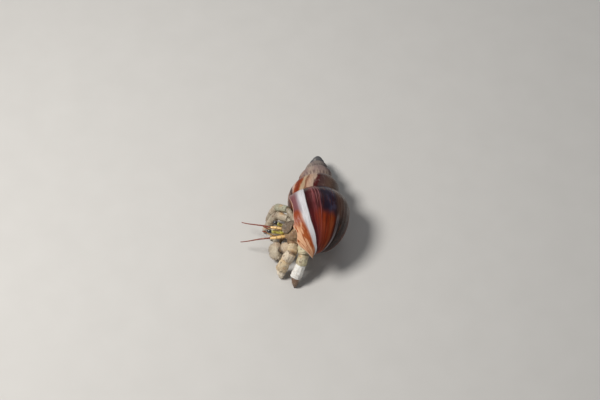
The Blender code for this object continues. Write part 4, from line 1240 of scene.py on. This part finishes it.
coat = Cast()
patch_corners = []
per_row = math.ceil(math.sqrt(len(bristle_tubes)))
for root, out, forward, length, (tube_number, around, along) in bristle_roots:
    lean = unit(out + forward * chance.uniform(0.5, 1.2) + chance.normal(0.0, 0.15, 3))
    bend = unit(lean + forward * 0.5)
    spread_a = unit(np.cross(lean, (0.31, 0.22, 0.93)))
    spread_b = np.cross(lean, spread_a)
    corners = []
    for centre, width in ((root - out * 0.08, 1.0), (root + lean * 0.5 * length, 0.75)):
        for angle in THIRDS:
            corners.append(centre + (spread_a * math.cos(angle) + spread_b * math.sin(angle))
                           * BRISTLE_HALF_WIDTH * width)
    corners.append(root + lean * 0.5 * length + bend * 0.5 * length)
    coat.add(above_floor(np.array(corners)), BRISTLE_FACES)
    tile = np.array((tube_number % per_row, tube_number // per_row))
    middle = (tile + MARGIN + (1.0 - 2.0 * MARGIN) * np.array((around, along))) / per_row
    patch_corners.append(middle + PATCH_WAYS * 0.5 * PATCH)
bristles = coat.piece("bristles", bristle_paint)
flat_map = bristles.data.uv_layers.new(name="OFBake")
loop_corners = np.empty(len(bristles.data.loops), int)
bristles.data.loops.foreach_get("vertex_index", loop_corners)
flat_map.data.foreach_set("uv", np.concatenate(patch_corners)[loop_corners].ravel())
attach(bristles, "root")

# ====================================================================== STUDIO
# A plain pale floor, three soft round lamps, a dim even light from all round, and the camera,
# all of them placed in metres. The floor is one flat sheet far wider than the model.

FLOOR_HALF = 3.0
floor_mesh = bpy.data.meshes.new("floor")
floor_mesh.from_pydata([(-FLOOR_HALF, -FLOOR_HALF, 0.0), (FLOOR_HALF, -FLOOR_HALF, 0.0),
                        (FLOOR_HALF, FLOOR_HALF, 0.0), (-FLOOR_HALF, FLOOR_HALF, 0.0)], [], [(0, 1, 2, 3)])
floor_paint = Paint("floor_paint", 0.8)
floor_grain = floor_paint.speckle(floor_paint.place(), 60.0)
floor_paint.colour(floor_paint.mix(floor_grain, (0.56, 0.55, 0.53), (0.60, 0.59, 0.57)))
floor_mesh.materials.append(floor_paint.material)
floor = placed("floor", floor_mesh)


def aim(made, place, target):
    """Stand a lamp or the camera at a place and turn it to its target."""
    made.location = place
    made.rotation_mode = "QUATERNION"
    made.rotation_quaternion = (made.location - Vector(target)).to_track_quat("Z", "Y")


def lamp(name, place, size, power, colour=(1.0, 1.0, 1.0)):
    data = bpy.data.lights.new(name, "AREA")
    data.shape = "DISK"
    data.size = size
    data.energy = power
    data.color = colour
    aim(placed(name, data), place, (0.0, 0.0, 0.0))


lamp("key", (-0.34, -0.06, 0.55), 0.20, 3.9, (1.0, 0.97, 0.93))
lamp("fill", (0.45, -0.45, 0.40), 0.6, 0.42, (0.93, 0.96, 1.0))
lamp("back", (0.15, 0.60, 0.45), 0.5, 0.6)

world = bpy.data.worlds.new("studio")
world.use_nodes = True
sky = world.node_tree.nodes["Background"]
sky.inputs["Color"].default_value = (0.95, 0.97, 1.0, 1.0)
sky.inputs["Strength"].default_value = 0.15
bpy.context.scene.world = world
bpy.context.scene.view_settings.view_transform = "Standard"

CAMERA_PLACE = (-0.0085, -0.399, 0.613)
CAMERA_AIM = (-0.0085, 0.0143, 0.0)
camera_data = bpy.data.cameras.new("camera")
camera_data.lens = 85.0
camera_data.sensor_width = 36.0
camera_data.clip_start = 0.01
camera_data.clip_end = 20.0
camera = placed("camera", camera_data)
aim(camera, CAMERA_PLACE, CAMERA_AIM)
bpy.context.scene.camera = camera
